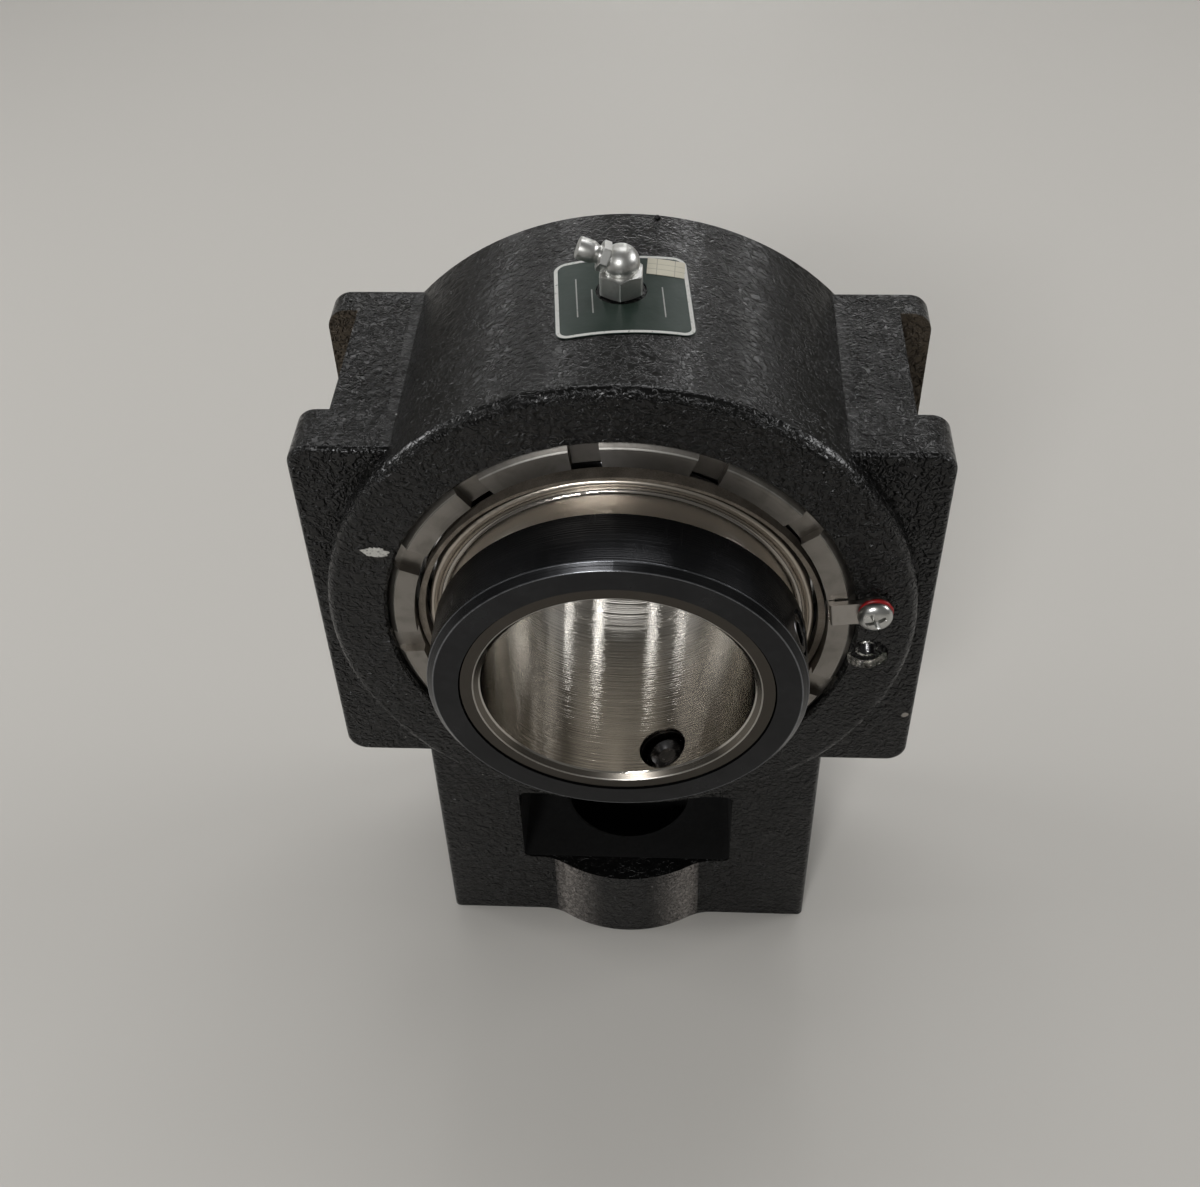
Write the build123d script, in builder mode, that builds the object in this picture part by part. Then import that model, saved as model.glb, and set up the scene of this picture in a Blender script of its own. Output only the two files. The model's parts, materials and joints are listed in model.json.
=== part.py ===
from build123d import *

import os
from math import asin, atan2, cos, hypot, radians, sin, sqrt

# A wide-slot take-up bearing, standing on the end that its adjusting screw passes through.
# The origin is the centre of the bearing, where its raceway sphere is centred. +Y runs from the
# front, which has the lock collar and the notched nut, to the back, and +Z is up. The bearing
# aligns itself, and the ring that takes the shaft hangs down a little at the front.

os.makedirs("parts", exist_ok=True)

# Shaft, inner ring and lock collar; overhangs are measured from the ends of the outer ring
bore_diameter = 74.6125
shaft_droop = 3.0
ring_wall = 5.64375
ring_front_overhang = 34.5
ring_rear_overhang = 8.5
ring_bore_chamfer = 1.8
ring_end_chamfer = 0.4
collar_wall = 8.65
collar_width = 19.0
collar_overhang = 0.5
collar_front_chamfer = 1.8
collar_rear_chamfer = 0.8
press_gap = 0.03

# Set screws through the collar
set_screw_diameter = 12.7
set_screw_length = 11.5
set_screw_sink = 0.4
set_screw_angles = (-70.7, 19.3)
set_screw_socket = 6.35
set_screw_socket_depth = 5.5
set_screw_cup_depth = 1.4
set_screw_clearance = 1.3
thread_gap = 0.04

# Rollers and raceways
race_rise = 1.05
running_gap = 0.2
roller_diameter = 13.5
roller_length = 17.0
roller_edge = 0.6
rollers_per_row = 12
row_stagger = 0.5
raceway_margin = 0.7
raceway_shoulder = 0.5
rib_height = 3.25

# Cages and the floating guide ring between the two rows
cage_thickness = 3.0
cage_inner_rim = 1.9
cage_outer_rim = 3.0
pocket_gap = 0.25
guide_ring_width = 6.0
guide_ring_side_gap = 0.578
guide_ring_gap = 0.3

# Outer ring
outer_ring_wall = 4.8
outer_ring_width = 59.0
counterbore_depth = 2.5
counterbore_wall = 5.0
outer_ring_chamfer = 1.0
oil_groove_width = 6.0
oil_groove_depth = 1.0
oil_hole_diameter = 3.0
oil_hole_count = 3

# Seal pack at each side; recesses are measured from the end of the outer ring
hub_wall = 6.25
hub_gap = 0.4
disc_recess = 2.5
disc_height = 3.0
disc_width = 1.0
shield_gap = 0.3
shield_width = 4.7
shield_recess = 0.4
shield_rim_gap = 0.5
shield_wall = 1.0
shield_dish = 0.7
shield_rim_wall = 0.4
wiper_recess = 3.5
wiper_width = 4.0
wiper_play = 0.3
seal_space = 3.7
yaw_limit = 1.5

# Retaining nut in the mouth of the housing
nut_overlap = 2.7
nut_width = 11.3
nut_chamfer = 2.0
nut_notch_count = 12
nut_notch_start = 7.5
nut_notch_width = 8.0
nut_notch_depth = 2.6

# Housing casting
barrel_wall = 19.5
boss_overhang = 0.6
boss_height = 7.7
back_wall = 10.5
flange_thickness = 16.6
back_flange_thickness = 10.7
flange_margin = 5.0
flange_top_drop = 25.3
flange_bottom_rise = 16.5
groove_depth = 9.4
seat_gap = 0.05
boss_edge_radius = 3.0
flange_corner_radius = 6.0
flange_edge_radius = 1.5
mouth_chamfer = 0.8
thread_relief = 1.5

# Base with its window and the hole for the adjusting screw
base_inset = 25.5
base_floor = 30.8
base_corner_radius = 2.0
window_wall = 26.8
window_height = 35.2
window_roof = 4.0
window_corner_radius = 2.5
screw_hole_diameter = 43.0
screw_hole_y = -1.5
screw_hole_round = 2.5
bulge_wall = 19.0
bulge_flank_radius = 16.0

# Lock plate and its screw, the spare tapped hole, and the wax under the screw's head
lock_offset = 4.8
lock_screw_diameter = 4.8
lock_screw_length = 12.0
lock_head_diameter = 9.6
lock_head_height = 2.9
lock_recess_width = 1.1
lock_recess_length = 5.4
lock_recess_depth = 1.6
lock_recess_turn = 25.0
lock_dome_radius = 3.36
lock_dome_height = 2.44
lock_rim_height = 0.97
lock_plate_play = 0.4
lock_plate_thickness = 1.6
lock_plate_setback = 0.3
lock_plate_end_radius = 4.6
lock_leg_gap = 0.3
wax_diameter = 10.8
wax_thickness = 0.9
wax_offset = 0.35
tapped_depth = 15.0
fitting_hole_run_on = 1.0
spot_face_diameter = 11.6
spot_face_depth = 2.2

# Grease fitting on top
fitting_y = 1.5
fitting_hex = 11.1
fitting_hex_height = 6.0
fitting_ball_radius = 4.9
fitting_ball_height = 8.5
fitting_shank_diameter = 9.8
fitting_shank_length = 9.0
fitting_passage_diameter = 3.0
nipple_lean = 22.0
nipple_hex = 7.2
nipple_hex_start = 2.7
nipple_hex_height = 3.2
nipple_neck_diameter = 4.6
nipple_shoulder_diameter = 5.9
nipple_tip_diameter = 5.2
nipple_reach = 6.0
nipple_shank_diameter = 4.4
nipple_bore_play = 0.6
nipple_inlet_diameter = 1.6
nipple_inlet_length = 0.7
nipple_root = 0.2
nipple_neck_length = 0.5
nipple_shoulder_start = 1.9
nipple_shoulder_end = 5.6
fitting_hex_turn = 30.0
check_ball_diameter = 2.2
check_ball_gap = 0.05
spring_foot = 0.4
spring_wire = 0.35
spring_play = 0.1
spring_turns = 4.0

# Foil nameplate and the small paper sticker over its corner
plate_width = 35.8
plate_depth = 35.6
plate_x = 0.4
plate_y = -0.1
plate_turn = 5.1
plate_corner_radius = 3.5
plate_thickness = 0.25
plate_gap = 0.02
plate_hole_diameter = 13.5
sticker_width = 10.0
sticker_depth = 7.6
sticker_x = 11.4
sticker_y = 13.1
sticker_turn = -1.5
sticker_thickness = 0.15

# Frames: the housing's own axis, and the shaft's axis, which droops towards the front
droop = radians(shaft_droop)
shaft_direction = Vector(0, cos(droop), sin(droop))
shaft_axis = Axis((0, 0, 0), (0, cos(droop), sin(droop)))
housing_axis = Axis.Y
shaft_profile = Plane(origin=(0, 0, 0), x_dir=shaft_direction, z_dir=(1, 0, 0))
housing_profile = Plane(origin=(0, 0, 0), x_dir=(0, 1, 0), z_dir=(1, 0, 0))

# Radii worked out from the shaft outward
bore_radius = bore_diameter / 2
seat_radius = bore_radius + ring_wall
collar_radius = seat_radius + collar_wall
rib_radius = seat_radius + rib_height
roller_profile_radius = seat_radius + race_rise + roller_diameter
roller_path = roller_profile_radius - roller_diameter / 2
raceway_sphere_radius = roller_profile_radius + running_gap
outer_ring_radius = raceway_sphere_radius + outer_ring_wall
counterbore_radius = outer_ring_radius - counterbore_wall
hub_radius = seat_radius + hub_wall
disc_radius = hub_radius + disc_height
rim_radius = hub_radius + shield_width
nut_bore_radius = rim_radius + seal_space
nut_radius = outer_ring_radius + nut_overlap
lock_radius = nut_radius + lock_offset
lock_plate_inner_radius = nut_bore_radius + lock_plate_setback
lock_plate_width = nut_notch_width - lock_plate_play
barrel_radius = outer_ring_radius + barrel_wall
bulge_radius = screw_hole_diameter / 2 + bulge_wall

# Reaches worked out from the ends of the outer ring
outer_ring_end = outer_ring_width / 2
raceway_zone = outer_ring_end - counterbore_depth
ring_front_reach = outer_ring_end + ring_front_overhang
ring_rear_reach = outer_ring_end + ring_rear_overhang
collar_front = -(ring_front_reach + collar_overhang)
collar_back = collar_front + collar_width
collar_middle = (collar_front + collar_back) / 2
hub_front_reach = -collar_back - hub_gap
hub_inner_reach = outer_ring_end + disc_recess
shield_inner_reach = hub_inner_reach + shield_rim_gap
wiper_inner_reach = outer_ring_end + wiper_recess
wiper_outer_reach = wiper_inner_reach + wiper_width
shield_lip_reach = wiper_outer_reach - shield_recess
nut_back = -outer_ring_end
nut_front = nut_back - nut_width
boss_front = nut_front - boss_overhang
flange_front = boss_front + boss_height
front_flange_back = flange_front + flange_thickness
housing_back = outer_ring_end + back_wall
back_flange_front = housing_back - back_flange_thickness

# Widths and heights of the casting, worked out from the barrel
flange_half_width = barrel_radius + flange_margin
flange_top = barrel_radius - flange_top_drop
flange_bottom = flange_bottom_rise - barrel_radius
base_half_width = flange_half_width - base_inset
window_half_width = base_half_width - window_wall
window_top = -barrel_radius - window_roof
window_bottom = window_top - window_height
base_bottom = window_bottom - base_floor

# The rows stand as close together as their cages and the guide ring between them allow, and that
# gives the angle of the line of contact; a row's own frame runs up that line and along the roller
cage_height = roller_path - cage_thickness / 2
cage_inner_end = roller_length / 2 + cage_inner_rim
row_spread = guide_ring_width / 2 + guide_ring_side_gap
contact_angle = atan2(cage_inner_end, cage_height) + asin(row_spread / hypot(cage_inner_end, cage_height))
across = Vector(sin(contact_angle), cos(contact_angle))
along = Vector(cos(contact_angle), -sin(contact_angle))


def race_point(distance, offset):
    """Return the profile point at a distance up the contact line and an offset along the roller."""
    point = across * distance + along * offset
    return (point.X, point.Y)


def flat_plane(axial, normal=-1):
    """Return the plane square to the shaft at an axial place, with its x along the row's X."""
    centre = shaft_direction * axial
    return Plane(origin=centre, x_dir=(1, 0, 0), z_dir=shaft_direction * normal)


def front_plane(y):
    """Return the plane that faces the front at a place along Y, with x along X and y along Z."""
    return Plane(origin=(0, y, 0), x_dir=(1, 0, 0), z_dir=(0, -1, 0))


def shaft_radial_plane(axial, angle, radius=0):
    """Return the plane that faces outward from the shaft at an angle from +X towards +Z."""
    square = flat_plane(axial)
    turn = radians(angle)
    outward = square.x_dir * cos(turn) + square.y_dir * sin(turn)
    return Plane(origin=square.origin + outward * radius, x_dir=shaft_direction, z_dir=outward)


def export(builder, name):
    """Label a finished piece and write it to its own file."""
    builder.part.label = name
    export_step(builder.part, f"parts/{name}.step")


# Housing: barrel, flanges, web and base in one casting
with BuildPart() as housing:
    with BuildSketch(front_plane(flange_front)):
        with Locations((0, (flange_top + flange_bottom) / 2)):
            RectangleRounded(2 * flange_half_width, flange_top - flange_bottom, flange_corner_radius)
    extrude(amount=-(housing_back - flange_front))
    flange_faces = housing.faces().filter_by(Axis.Y)
    fillet(flange_faces.edges(), flange_edge_radius)
    with BuildSketch(Plane.XY.offset(base_bottom)):
        with Locations((0, (flange_front + housing_back) / 2)):
            RectangleRounded(2 * base_half_width, housing_back - flange_front, base_corner_radius)
    extrude(amount=flange_bottom + flange_corner_radius - base_bottom)
    # The barrel stands proud of the front flange as a round boss
    with BuildSketch(housing_profile):
        with BuildLine():
            Polyline((boss_front, 0), (boss_front, barrel_radius), (housing_back, barrel_radius))
            Polyline((housing_back, barrel_radius), (housing_back, 0), (boss_front, 0))
        make_face()
    revolve(axis=housing_axis)
    boss_edges = housing.edges().filter_by(GeomType.CIRCLE).group_by(Axis.Y)[0]
    fillet(boss_edges, boss_edge_radius)
    # The bottom wall bulges forward round the adjusting screw, with hollow flanks
    with BuildSketch(Plane.XY.offset(base_bottom)) as bulge:
        reach = screw_hole_y - flange_front
        flank_y = flange_front - bulge_flank_radius
        flank_x = sqrt((bulge_radius + bulge_flank_radius) ** 2 - (screw_hole_y - flank_y) ** 2)
        touch = bulge_radius / (bulge_radius + bulge_flank_radius)
        touch_x = flank_x * touch
        touch_y = screw_hole_y + (flank_y - screw_hole_y) * touch
        with BuildLine():
            Polyline((-flank_x, flange_front), (-flank_x, screw_hole_y), (flank_x, screw_hole_y))
            Line((flank_x, screw_hole_y), (flank_x, flange_front))
            RadiusArc((flank_x, flange_front), (touch_x, touch_y), -bulge_flank_radius)
            ThreePointArc((touch_x, touch_y), (0, screw_hole_y - bulge_radius), (-touch_x, touch_y))
            RadiusArc((-touch_x, touch_y), (-flank_x, flange_front), -bulge_flank_radius)
        make_face()
    extrude(amount=window_bottom - base_bottom)
    # Guide grooves down both sides
    with BuildSketch(front_plane(front_flange_back)):
        with Locations((flange_half_width, 0), (-flange_half_width, 0)):
            Rectangle(2 * groove_depth, 4 * flange_half_width)
    extrude(amount=-(back_flange_front - front_flange_back), mode=Mode.SUBTRACT)
    # Window through the base, front to back
    with BuildSketch(front_plane(boss_front - bulge_radius)):
        with Locations((0, (window_top + window_bottom) / 2)):
            RectangleRounded(2 * window_half_width, window_top - window_bottom, window_corner_radius)
    extrude(amount=-(housing_back - boss_front + 2 * bulge_radius), mode=Mode.SUBTRACT)
    # Hole for the adjusting screw
    with Locations((0, screw_hole_y, base_bottom)):
        Cylinder(screw_hole_diameter / 2, window_bottom - base_bottom,
                 align=(Align.CENTER, Align.CENTER, Align.MIN), mode=Mode.SUBTRACT)
    rim = housing.edges().filter_by(GeomType.CIRCLE)
    rim = rim.filter_by(lambda edge: abs(edge.radius - screw_hole_diameter / 2) < seat_gap)
    fillet(rim.sort_by(Axis.Z)[-1], screw_hole_round)
    # Stepped bore for the nut, the outer ring and the rear opening
    with BuildSketch(housing_profile):
        thread_radius = nut_radius + thread_gap
        ring_bore_radius = outer_ring_radius + seat_gap
        thread_end = nut_back + thread_relief
        with BuildLine():
            Polyline((boss_front, 0), (boss_front, thread_radius + mouth_chamfer),
                     (boss_front + mouth_chamfer, thread_radius), (thread_end, thread_radius),
                     (thread_end, ring_bore_radius), (outer_ring_end, ring_bore_radius),
                     (outer_ring_end, nut_bore_radius),
                     (housing_back - mouth_chamfer, nut_bore_radius),
                     (housing_back, nut_bore_radius + mouth_chamfer),
                     (housing_back, 0), (boss_front, 0))
        make_face()
    revolve(axis=housing_axis, mode=Mode.SUBTRACT)
    # Tapped holes for the lock screw, half a notch apart, with a spot face round the spare one
    with BuildSketch(front_plane(boss_front)):
        with PolarLocations(lock_radius, 2, -nut_notch_start, 2 * nut_notch_start, endpoint=True):
            Circle(lock_screw_diameter / 2 + thread_gap)
    extrude(amount=-tapped_depth, mode=Mode.SUBTRACT)
    with BuildSketch(front_plane(boss_front)):
        with PolarLocations(lock_radius, 1, -nut_notch_start):
            Circle(spot_face_diameter / 2)
    extrude(amount=-spot_face_depth, mode=Mode.SUBTRACT)
    # Tapped hole for the grease fitting, down to the outer ring
    with BuildSketch(Plane.XY.offset(barrel_radius)):
        with Locations((0, fitting_y)):
            Circle(fitting_shank_diameter / 2 + thread_gap)
    extrude(amount=-(barrel_radius - outer_ring_radius + fitting_hole_run_on), mode=Mode.SUBTRACT)
export(housing, "housing")

# Outer ring: spherical raceway inside, an oil groove and holes outside
with BuildPart() as outer_ring:
    with BuildSketch(housing_profile):
        zone = raceway_zone
        zone_radius = sqrt(raceway_sphere_radius ** 2 - zone ** 2)
        with BuildLine():
            ThreePointArc((-zone, zone_radius), (0, raceway_sphere_radius), (zone, zone_radius))
            Polyline((zone, zone_radius), (zone, counterbore_radius), (outer_ring_end, counterbore_radius),
                     (outer_ring_end, outer_ring_radius - outer_ring_chamfer),
                     (outer_ring_end - outer_ring_chamfer, outer_ring_radius),
                     (oil_groove_width / 2, outer_ring_radius),
                     (oil_groove_width / 2, outer_ring_radius - oil_groove_depth),
                     (-oil_groove_width / 2, outer_ring_radius - oil_groove_depth),
                     (-oil_groove_width / 2, outer_ring_radius),
                     (outer_ring_chamfer - outer_ring_end, outer_ring_radius),
                     (-outer_ring_end, outer_ring_radius - outer_ring_chamfer),
                     (-outer_ring_end, counterbore_radius), (-zone, counterbore_radius),
                     (-zone, zone_radius))
        make_face()
    revolve(axis=housing_axis)
    for hole in range(oil_hole_count):
        with BuildSketch(Plane.XY.rotated((0, 360 * hole / oil_hole_count, 0))):
            Circle(oil_hole_diameter / 2)
        extrude(amount=outer_ring_radius, mode=Mode.SUBTRACT)
export(outer_ring, "outer_ring")

# Retaining nut with notches across its front face
with BuildPart() as retaining_nut:
    with BuildSketch(housing_profile):
        inner = nut_bore_radius
        with BuildLine():
            Polyline((nut_front, inner), (nut_front, nut_radius - nut_chamfer),
                     (nut_front + nut_chamfer, nut_radius), (nut_back, nut_radius),
                     (nut_back, inner), (nut_front, inner))
        make_face()
    revolve(axis=housing_axis)
    with BuildSketch(front_plane(nut_front)):
        middle = (nut_radius + inner) / 2
        with PolarLocations(middle, nut_notch_count, nut_notch_start):
            Rectangle(2 * (nut_radius - inner), nut_notch_width)
    extrude(amount=-nut_notch_depth, mode=Mode.SUBTRACT)
export(retaining_nut, "retaining_nut")

# Lock plate: lies on the boss and drops a leg into a notch of the nut
plate_bottom = boss_front
plate_top = boss_front - lock_plate_thickness
lock_turn = radians(nut_notch_start)
with BuildPart() as lock_plate:
    turned = Plane(origin=(0, plate_bottom, 0), x_dir=(cos(lock_turn), 0, sin(lock_turn)),
                   z_dir=(0, -1, 0))
    with BuildSketch(turned):
        with Locations(((lock_plate_inner_radius + lock_radius) / 2, 0)):
            Rectangle(lock_radius - lock_plate_inner_radius, lock_plate_width)
        with Locations((lock_radius, 0)):
            Circle(lock_plate_end_radius)
            Circle(lock_screw_diameter / 2 + lock_leg_gap, mode=Mode.SUBTRACT)
    extrude(amount=lock_plate_thickness)
    with BuildSketch(turned):
        with Locations((lock_plate_inner_radius + lock_plate_thickness / 2, 0)):
            Rectangle(lock_plate_thickness, lock_plate_width)
    extrude(amount=-(nut_front + nut_notch_depth - lock_leg_gap - boss_front))
    bend = lock_plate.edges().filter_by(GeomType.LINE).group_by(Axis.Y)[0]
    fillet(bend.sort_by_distance((0, boss_front, 0))[0], lock_plate_thickness / 2)
export(lock_plate, "lock_plate")

# Lock screw with a domed head and a crossed recess, and the wax squeezed out under it
screw_plane = front_plane(plate_top - wax_thickness)
lock_centre = (lock_radius * cos(lock_turn), lock_radius * sin(lock_turn))
head_radius = lock_head_diameter / 2
with BuildPart() as lock_screw:
    head_plane = Plane(origin=(lock_centre[0], plate_top - wax_thickness, lock_centre[1]),
                       x_dir=(0, -1, 0), z_dir=(1, 0, 0))
    with BuildSketch(head_plane):
        with BuildLine():
            Line((0, 0), (0, head_radius))
            Line((0, head_radius), (lock_rim_height, head_radius))
            ThreePointArc((lock_rim_height, head_radius),
                          (lock_dome_height, lock_dome_radius), (lock_head_height, 0))
            Line((lock_head_height, 0), (0, 0))
        make_face()
    revolve(axis=Axis(head_plane.origin, (0, 1, 0)))
    with BuildSketch(screw_plane):
        with Locations(lock_centre):
            Circle(lock_screw_diameter / 2)
    extrude(amount=-lock_screw_length)
    with BuildSketch(front_plane(plate_top - wax_thickness - lock_head_height)):
        with Locations(lock_centre):
            Rectangle(lock_recess_length, lock_recess_width, rotation=lock_recess_turn)
            Rectangle(lock_recess_width, lock_recess_length, rotation=lock_recess_turn)
    extrude(amount=-lock_recess_depth, mode=Mode.SUBTRACT)
export(lock_screw, "lock_screw")

with BuildPart() as sealing_wax:
    with BuildSketch(front_plane(plate_top)):
        with Locations((lock_centre[0], lock_centre[1] + wax_offset)):
            Circle(wax_diameter / 2)
        with Locations(lock_centre):
            Circle(lock_screw_diameter / 2 + lock_leg_gap, mode=Mode.SUBTRACT)
    extrude(amount=wax_thickness)
export(sealing_wax, "sealing_wax")

# Inner ring: long sleeve with two raceways, drilled for the set screws
race_end = roller_length / 2 + raceway_margin
inner_race_centre = 2 * roller_path
inner_race_radius = roller_profile_radius + running_gap


def race_height(offset):
    """Return how far up the contact line the inner raceway lies at an offset along the roller."""
    return inner_race_centre - sqrt(inner_race_radius ** 2 - offset ** 2)


with BuildPart() as inner_ring:
    with BuildSketch(shaft_profile):
        front, rear = -ring_front_reach, ring_rear_reach
        start = race_point(race_height(-race_end), -race_end)
        middle = race_point(race_height(0), 0)
        end = race_point(race_height(race_end), race_end)
        with BuildLine():
            Polyline((front, bore_radius + ring_bore_chamfer), (front, seat_radius - ring_end_chamfer),
                     (front + ring_end_chamfer, seat_radius), (-end[0] - raceway_shoulder, seat_radius),
                     (-end[0], end[1]))
            ThreePointArc((-end[0], end[1]), (-middle[0], middle[1]), (-start[0], start[1]))
            Polyline((-start[0], start[1]), (-start[0], rib_radius), (start[0], rib_radius), start)
            ThreePointArc(start, middle, end)
            Polyline(end, (end[0] + raceway_shoulder, seat_radius),
                     (rear - ring_end_chamfer, seat_radius), (rear, seat_radius - ring_end_chamfer),
                     (rear, bore_radius + ring_bore_chamfer), (rear - ring_bore_chamfer, bore_radius),
                     (front + ring_bore_chamfer, bore_radius), (front, bore_radius + ring_bore_chamfer))
        make_face()
    revolve(axis=shaft_axis)
    for angle in set_screw_angles:
        with BuildSketch(shaft_radial_plane(collar_middle, angle)):
            Circle((set_screw_diameter + set_screw_clearance) / 2)
        extrude(amount=collar_radius, mode=Mode.SUBTRACT)
export(inner_ring, "inner_ring")

# Lock collar, tapped for the two set screws
with BuildPart() as set_collar:
    with BuildSketch(shaft_profile):
        inner = seat_radius + press_gap
        outer = collar_radius
        with BuildLine():
            Polyline((collar_front, inner), (collar_front, outer - collar_front_chamfer),
                     (collar_front + collar_front_chamfer, outer),
                     (collar_back - collar_rear_chamfer, outer),
                     (collar_back, outer - collar_rear_chamfer), (collar_back, inner),
                     (collar_front, inner))
        make_face()
    revolve(axis=shaft_axis)
    for angle in set_screw_angles:
        with BuildSketch(shaft_radial_plane(collar_middle, angle)):
            Circle(set_screw_diameter / 2 + thread_gap)
        extrude(amount=2 * collar_radius, mode=Mode.SUBTRACT)
export(set_collar, "set_collar")

# The two set screws: hexagon socket outside, cup point inside
with BuildPart() as set_screws:
    outer = collar_radius - set_screw_sink
    for angle in set_screw_angles:
        with BuildSketch(shaft_radial_plane(collar_middle, angle, outer)):
            Circle(set_screw_diameter / 2)
        extrude(amount=-set_screw_length)
        with BuildSketch(shaft_radial_plane(collar_middle, angle, outer)):
            RegularPolygon(set_screw_socket / 2, 6, major_radius=False)
        extrude(amount=-set_screw_socket_depth, mode=Mode.SUBTRACT)
        with BuildSketch(shaft_radial_plane(collar_middle, angle, outer - set_screw_length)):
            Circle(set_screw_diameter / 2 - set_screw_cup_depth)
        extrude(amount=set_screw_cup_depth, taper=45, mode=Mode.SUBTRACT)
export(set_screws, "set_screws")

# Seal packs, one for each side: side is -1 at the front and +1 at the rear
hub_outer_reach = {-1: hub_front_reach, 1: ring_rear_reach}
side_name = {-1: "front", 1: "rear"}
yaw_swing = wiper_outer_reach * sin(radians(yaw_limit))
droop_swing = wiper_outer_reach * sin(droop)

for side in (-1, 1):
    name = side_name[side]
    # Flinger: a hub pressed on the inner ring, with a thin disc behind the shield
    with BuildPart() as flinger:
        with BuildSketch(shaft_profile):
            inner = seat_radius + press_gap
            disc_outer = side * (hub_inner_reach + disc_width)
            hub_outer = side * hub_outer_reach[side]
            hub_inner = side * hub_inner_reach
            with BuildLine():
                Polyline((hub_outer, inner), (hub_outer, hub_radius), (disc_outer, hub_radius),
                         (disc_outer, disc_radius), (hub_inner, disc_radius),
                         (hub_inner, inner), (hub_outer, inner))
            make_face()
        revolve(axis=shaft_axis)
    export(flinger, f"flinger_{name}")

    # Shield: a pressed ring with a dished face, a rolled rim and an inner wall
    with BuildPart() as shield:
        with BuildSketch(shaft_profile):
            lip = hub_radius + shield_gap
            face = side * shield_lip_reach
            dish = side * (shield_lip_reach - shield_dish)
            wall = side * shield_wall
            bead_inner = rim_radius - 2 * shield_wall
            dish_radius = (lip + bead_inner) / 2
            with BuildLine():
                ThreePointArc((face, lip), (dish, dish_radius), (face, bead_inner))
                ThreePointArc((face, bead_inner), (face + wall / 2, rim_radius - shield_wall),
                              (face, rim_radius))
                Polyline((face, rim_radius), (side * shield_inner_reach, rim_radius),
                         (side * shield_inner_reach, rim_radius - shield_rim_wall),
                         (face - wall, rim_radius - shield_wall), (face - wall, bead_inner))
                ThreePointArc((face - wall, bead_inner), (dish - wall, dish_radius), (face - wall, lip))
                Line((face - wall, lip), (face, lip))
            make_face()
        revolve(axis=shaft_axis)
    export(shield, f"seal_shield_{name}")

    # Wiper ring: bears on the nut or housing at its sides and on the shield at top and bottom
    with BuildPart() as wiper:
        with BuildSketch(flat_plane(side * wiper_outer_reach, normal=side)):
            with Locations((0, droop_swing)):
                Circle(nut_bore_radius - wiper_play)
            with Locations((0, -droop_swing)):
                Circle(nut_bore_radius - wiper_play, mode=Mode.INTERSECT)
            with Locations((yaw_swing, 0), (-yaw_swing, 0)):
                Circle(rim_radius + wiper_play, mode=Mode.SUBTRACT)
        extrude(amount=-(wiper_outer_reach - wiper_inner_reach))
    export(wiper, f"wiper_ring_{name}")

# Guide ring, floating between the two rows of rollers
with BuildPart() as guide_ring:
    with BuildSketch(shaft_profile):
        inner = rib_radius + guide_ring_gap
        outer = roller_profile_radius - guide_ring_gap
        half = guide_ring_width / 2
        with BuildLine():
            Polyline((-half, inner), (-half, outer), (half, outer), (half, inner), (-half, inner))
        make_face()
    revolve(axis=shaft_axis)
export(guide_ring, "guide_ring")

# Rollers and cages; a row's roller lies on a cone round the shaft
roller_end_radius = roller_diameter / 2 - roller_profile_radius + sqrt(
    roller_profile_radius ** 2 - (roller_length / 2) ** 2)


def roller_profile_plane(side, angle):
    """Return the plane through the shaft and one roller, with the origin at the roller's centre."""
    square = flat_plane(0)
    turn = radians(angle)
    outward = square.x_dir * cos(turn) + square.y_dir * sin(turn)
    row_centre = race_point(roller_path, 0)
    centre = shaft_direction * (side * row_centre[0]) + outward * row_centre[1]
    lengthwise = shaft_direction * (side * along.X) + outward * along.Y
    return Plane(origin=centre, x_dir=lengthwise, z_dir=lengthwise.cross(outward))


for side in (-1, 1):
    name = side_name[side]
    planes = []
    first = row_stagger * (side + 1) / 2
    for index in range(rollers_per_row):
        plane = roller_profile_plane(side, 360 * (index + first) / rollers_per_row)
        planes.append(plane)
        half = roller_length / 2
        with BuildPart() as roller:
            with BuildSketch(plane):
                with BuildLine():
                    ThreePointArc((-half, roller_end_radius), (0, roller_diameter / 2),
                                  (half, roller_end_radius))
                    Polyline((half, roller_end_radius), (half, 0), (-half, 0), (-half, roller_end_radius))
                make_face()
            revolve(axis=Axis(plane.origin, plane.x_dir))
            chamfer(roller.edges().filter_by(GeomType.CIRCLE), roller_edge)
        export(roller, f"roller_{name}_{index + 1:02d}")

    # Cage: a cone band through the rollers' axes, with a pocket for each roller
    with BuildPart() as cage:
        with BuildSketch(shaft_profile):
            outer_end = roller_length / 2 + cage_outer_rim
            high = cage_height + cage_thickness
            corners = [race_point(cage_height, -cage_inner_end), race_point(high, -cage_inner_end),
                       race_point(high, outer_end), race_point(cage_height, outer_end)]
            with BuildLine():
                Polyline([(side * corner[0], corner[1]) for corner in corners], close=True)
            make_face()
        revolve(axis=shaft_axis)
        for plane in planes:
            with BuildSketch(plane):
                with BuildLine():
                    end = roller_length / 2 + pocket_gap
                    Polyline((-end, 0), (-end, roller_end_radius + pocket_gap))
                    ThreePointArc((-end, roller_end_radius + pocket_gap),
                                  (0, roller_diameter / 2 + pocket_gap),
                                  (end, roller_end_radius + pocket_gap))
                    Polyline((end, roller_end_radius + pocket_gap), (end, 0), (-end, 0))
                make_face()
            revolve(axis=Axis(plane.origin, plane.x_dir), mode=Mode.SUBTRACT)
    export(cage, f"cage_{name}")

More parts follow.
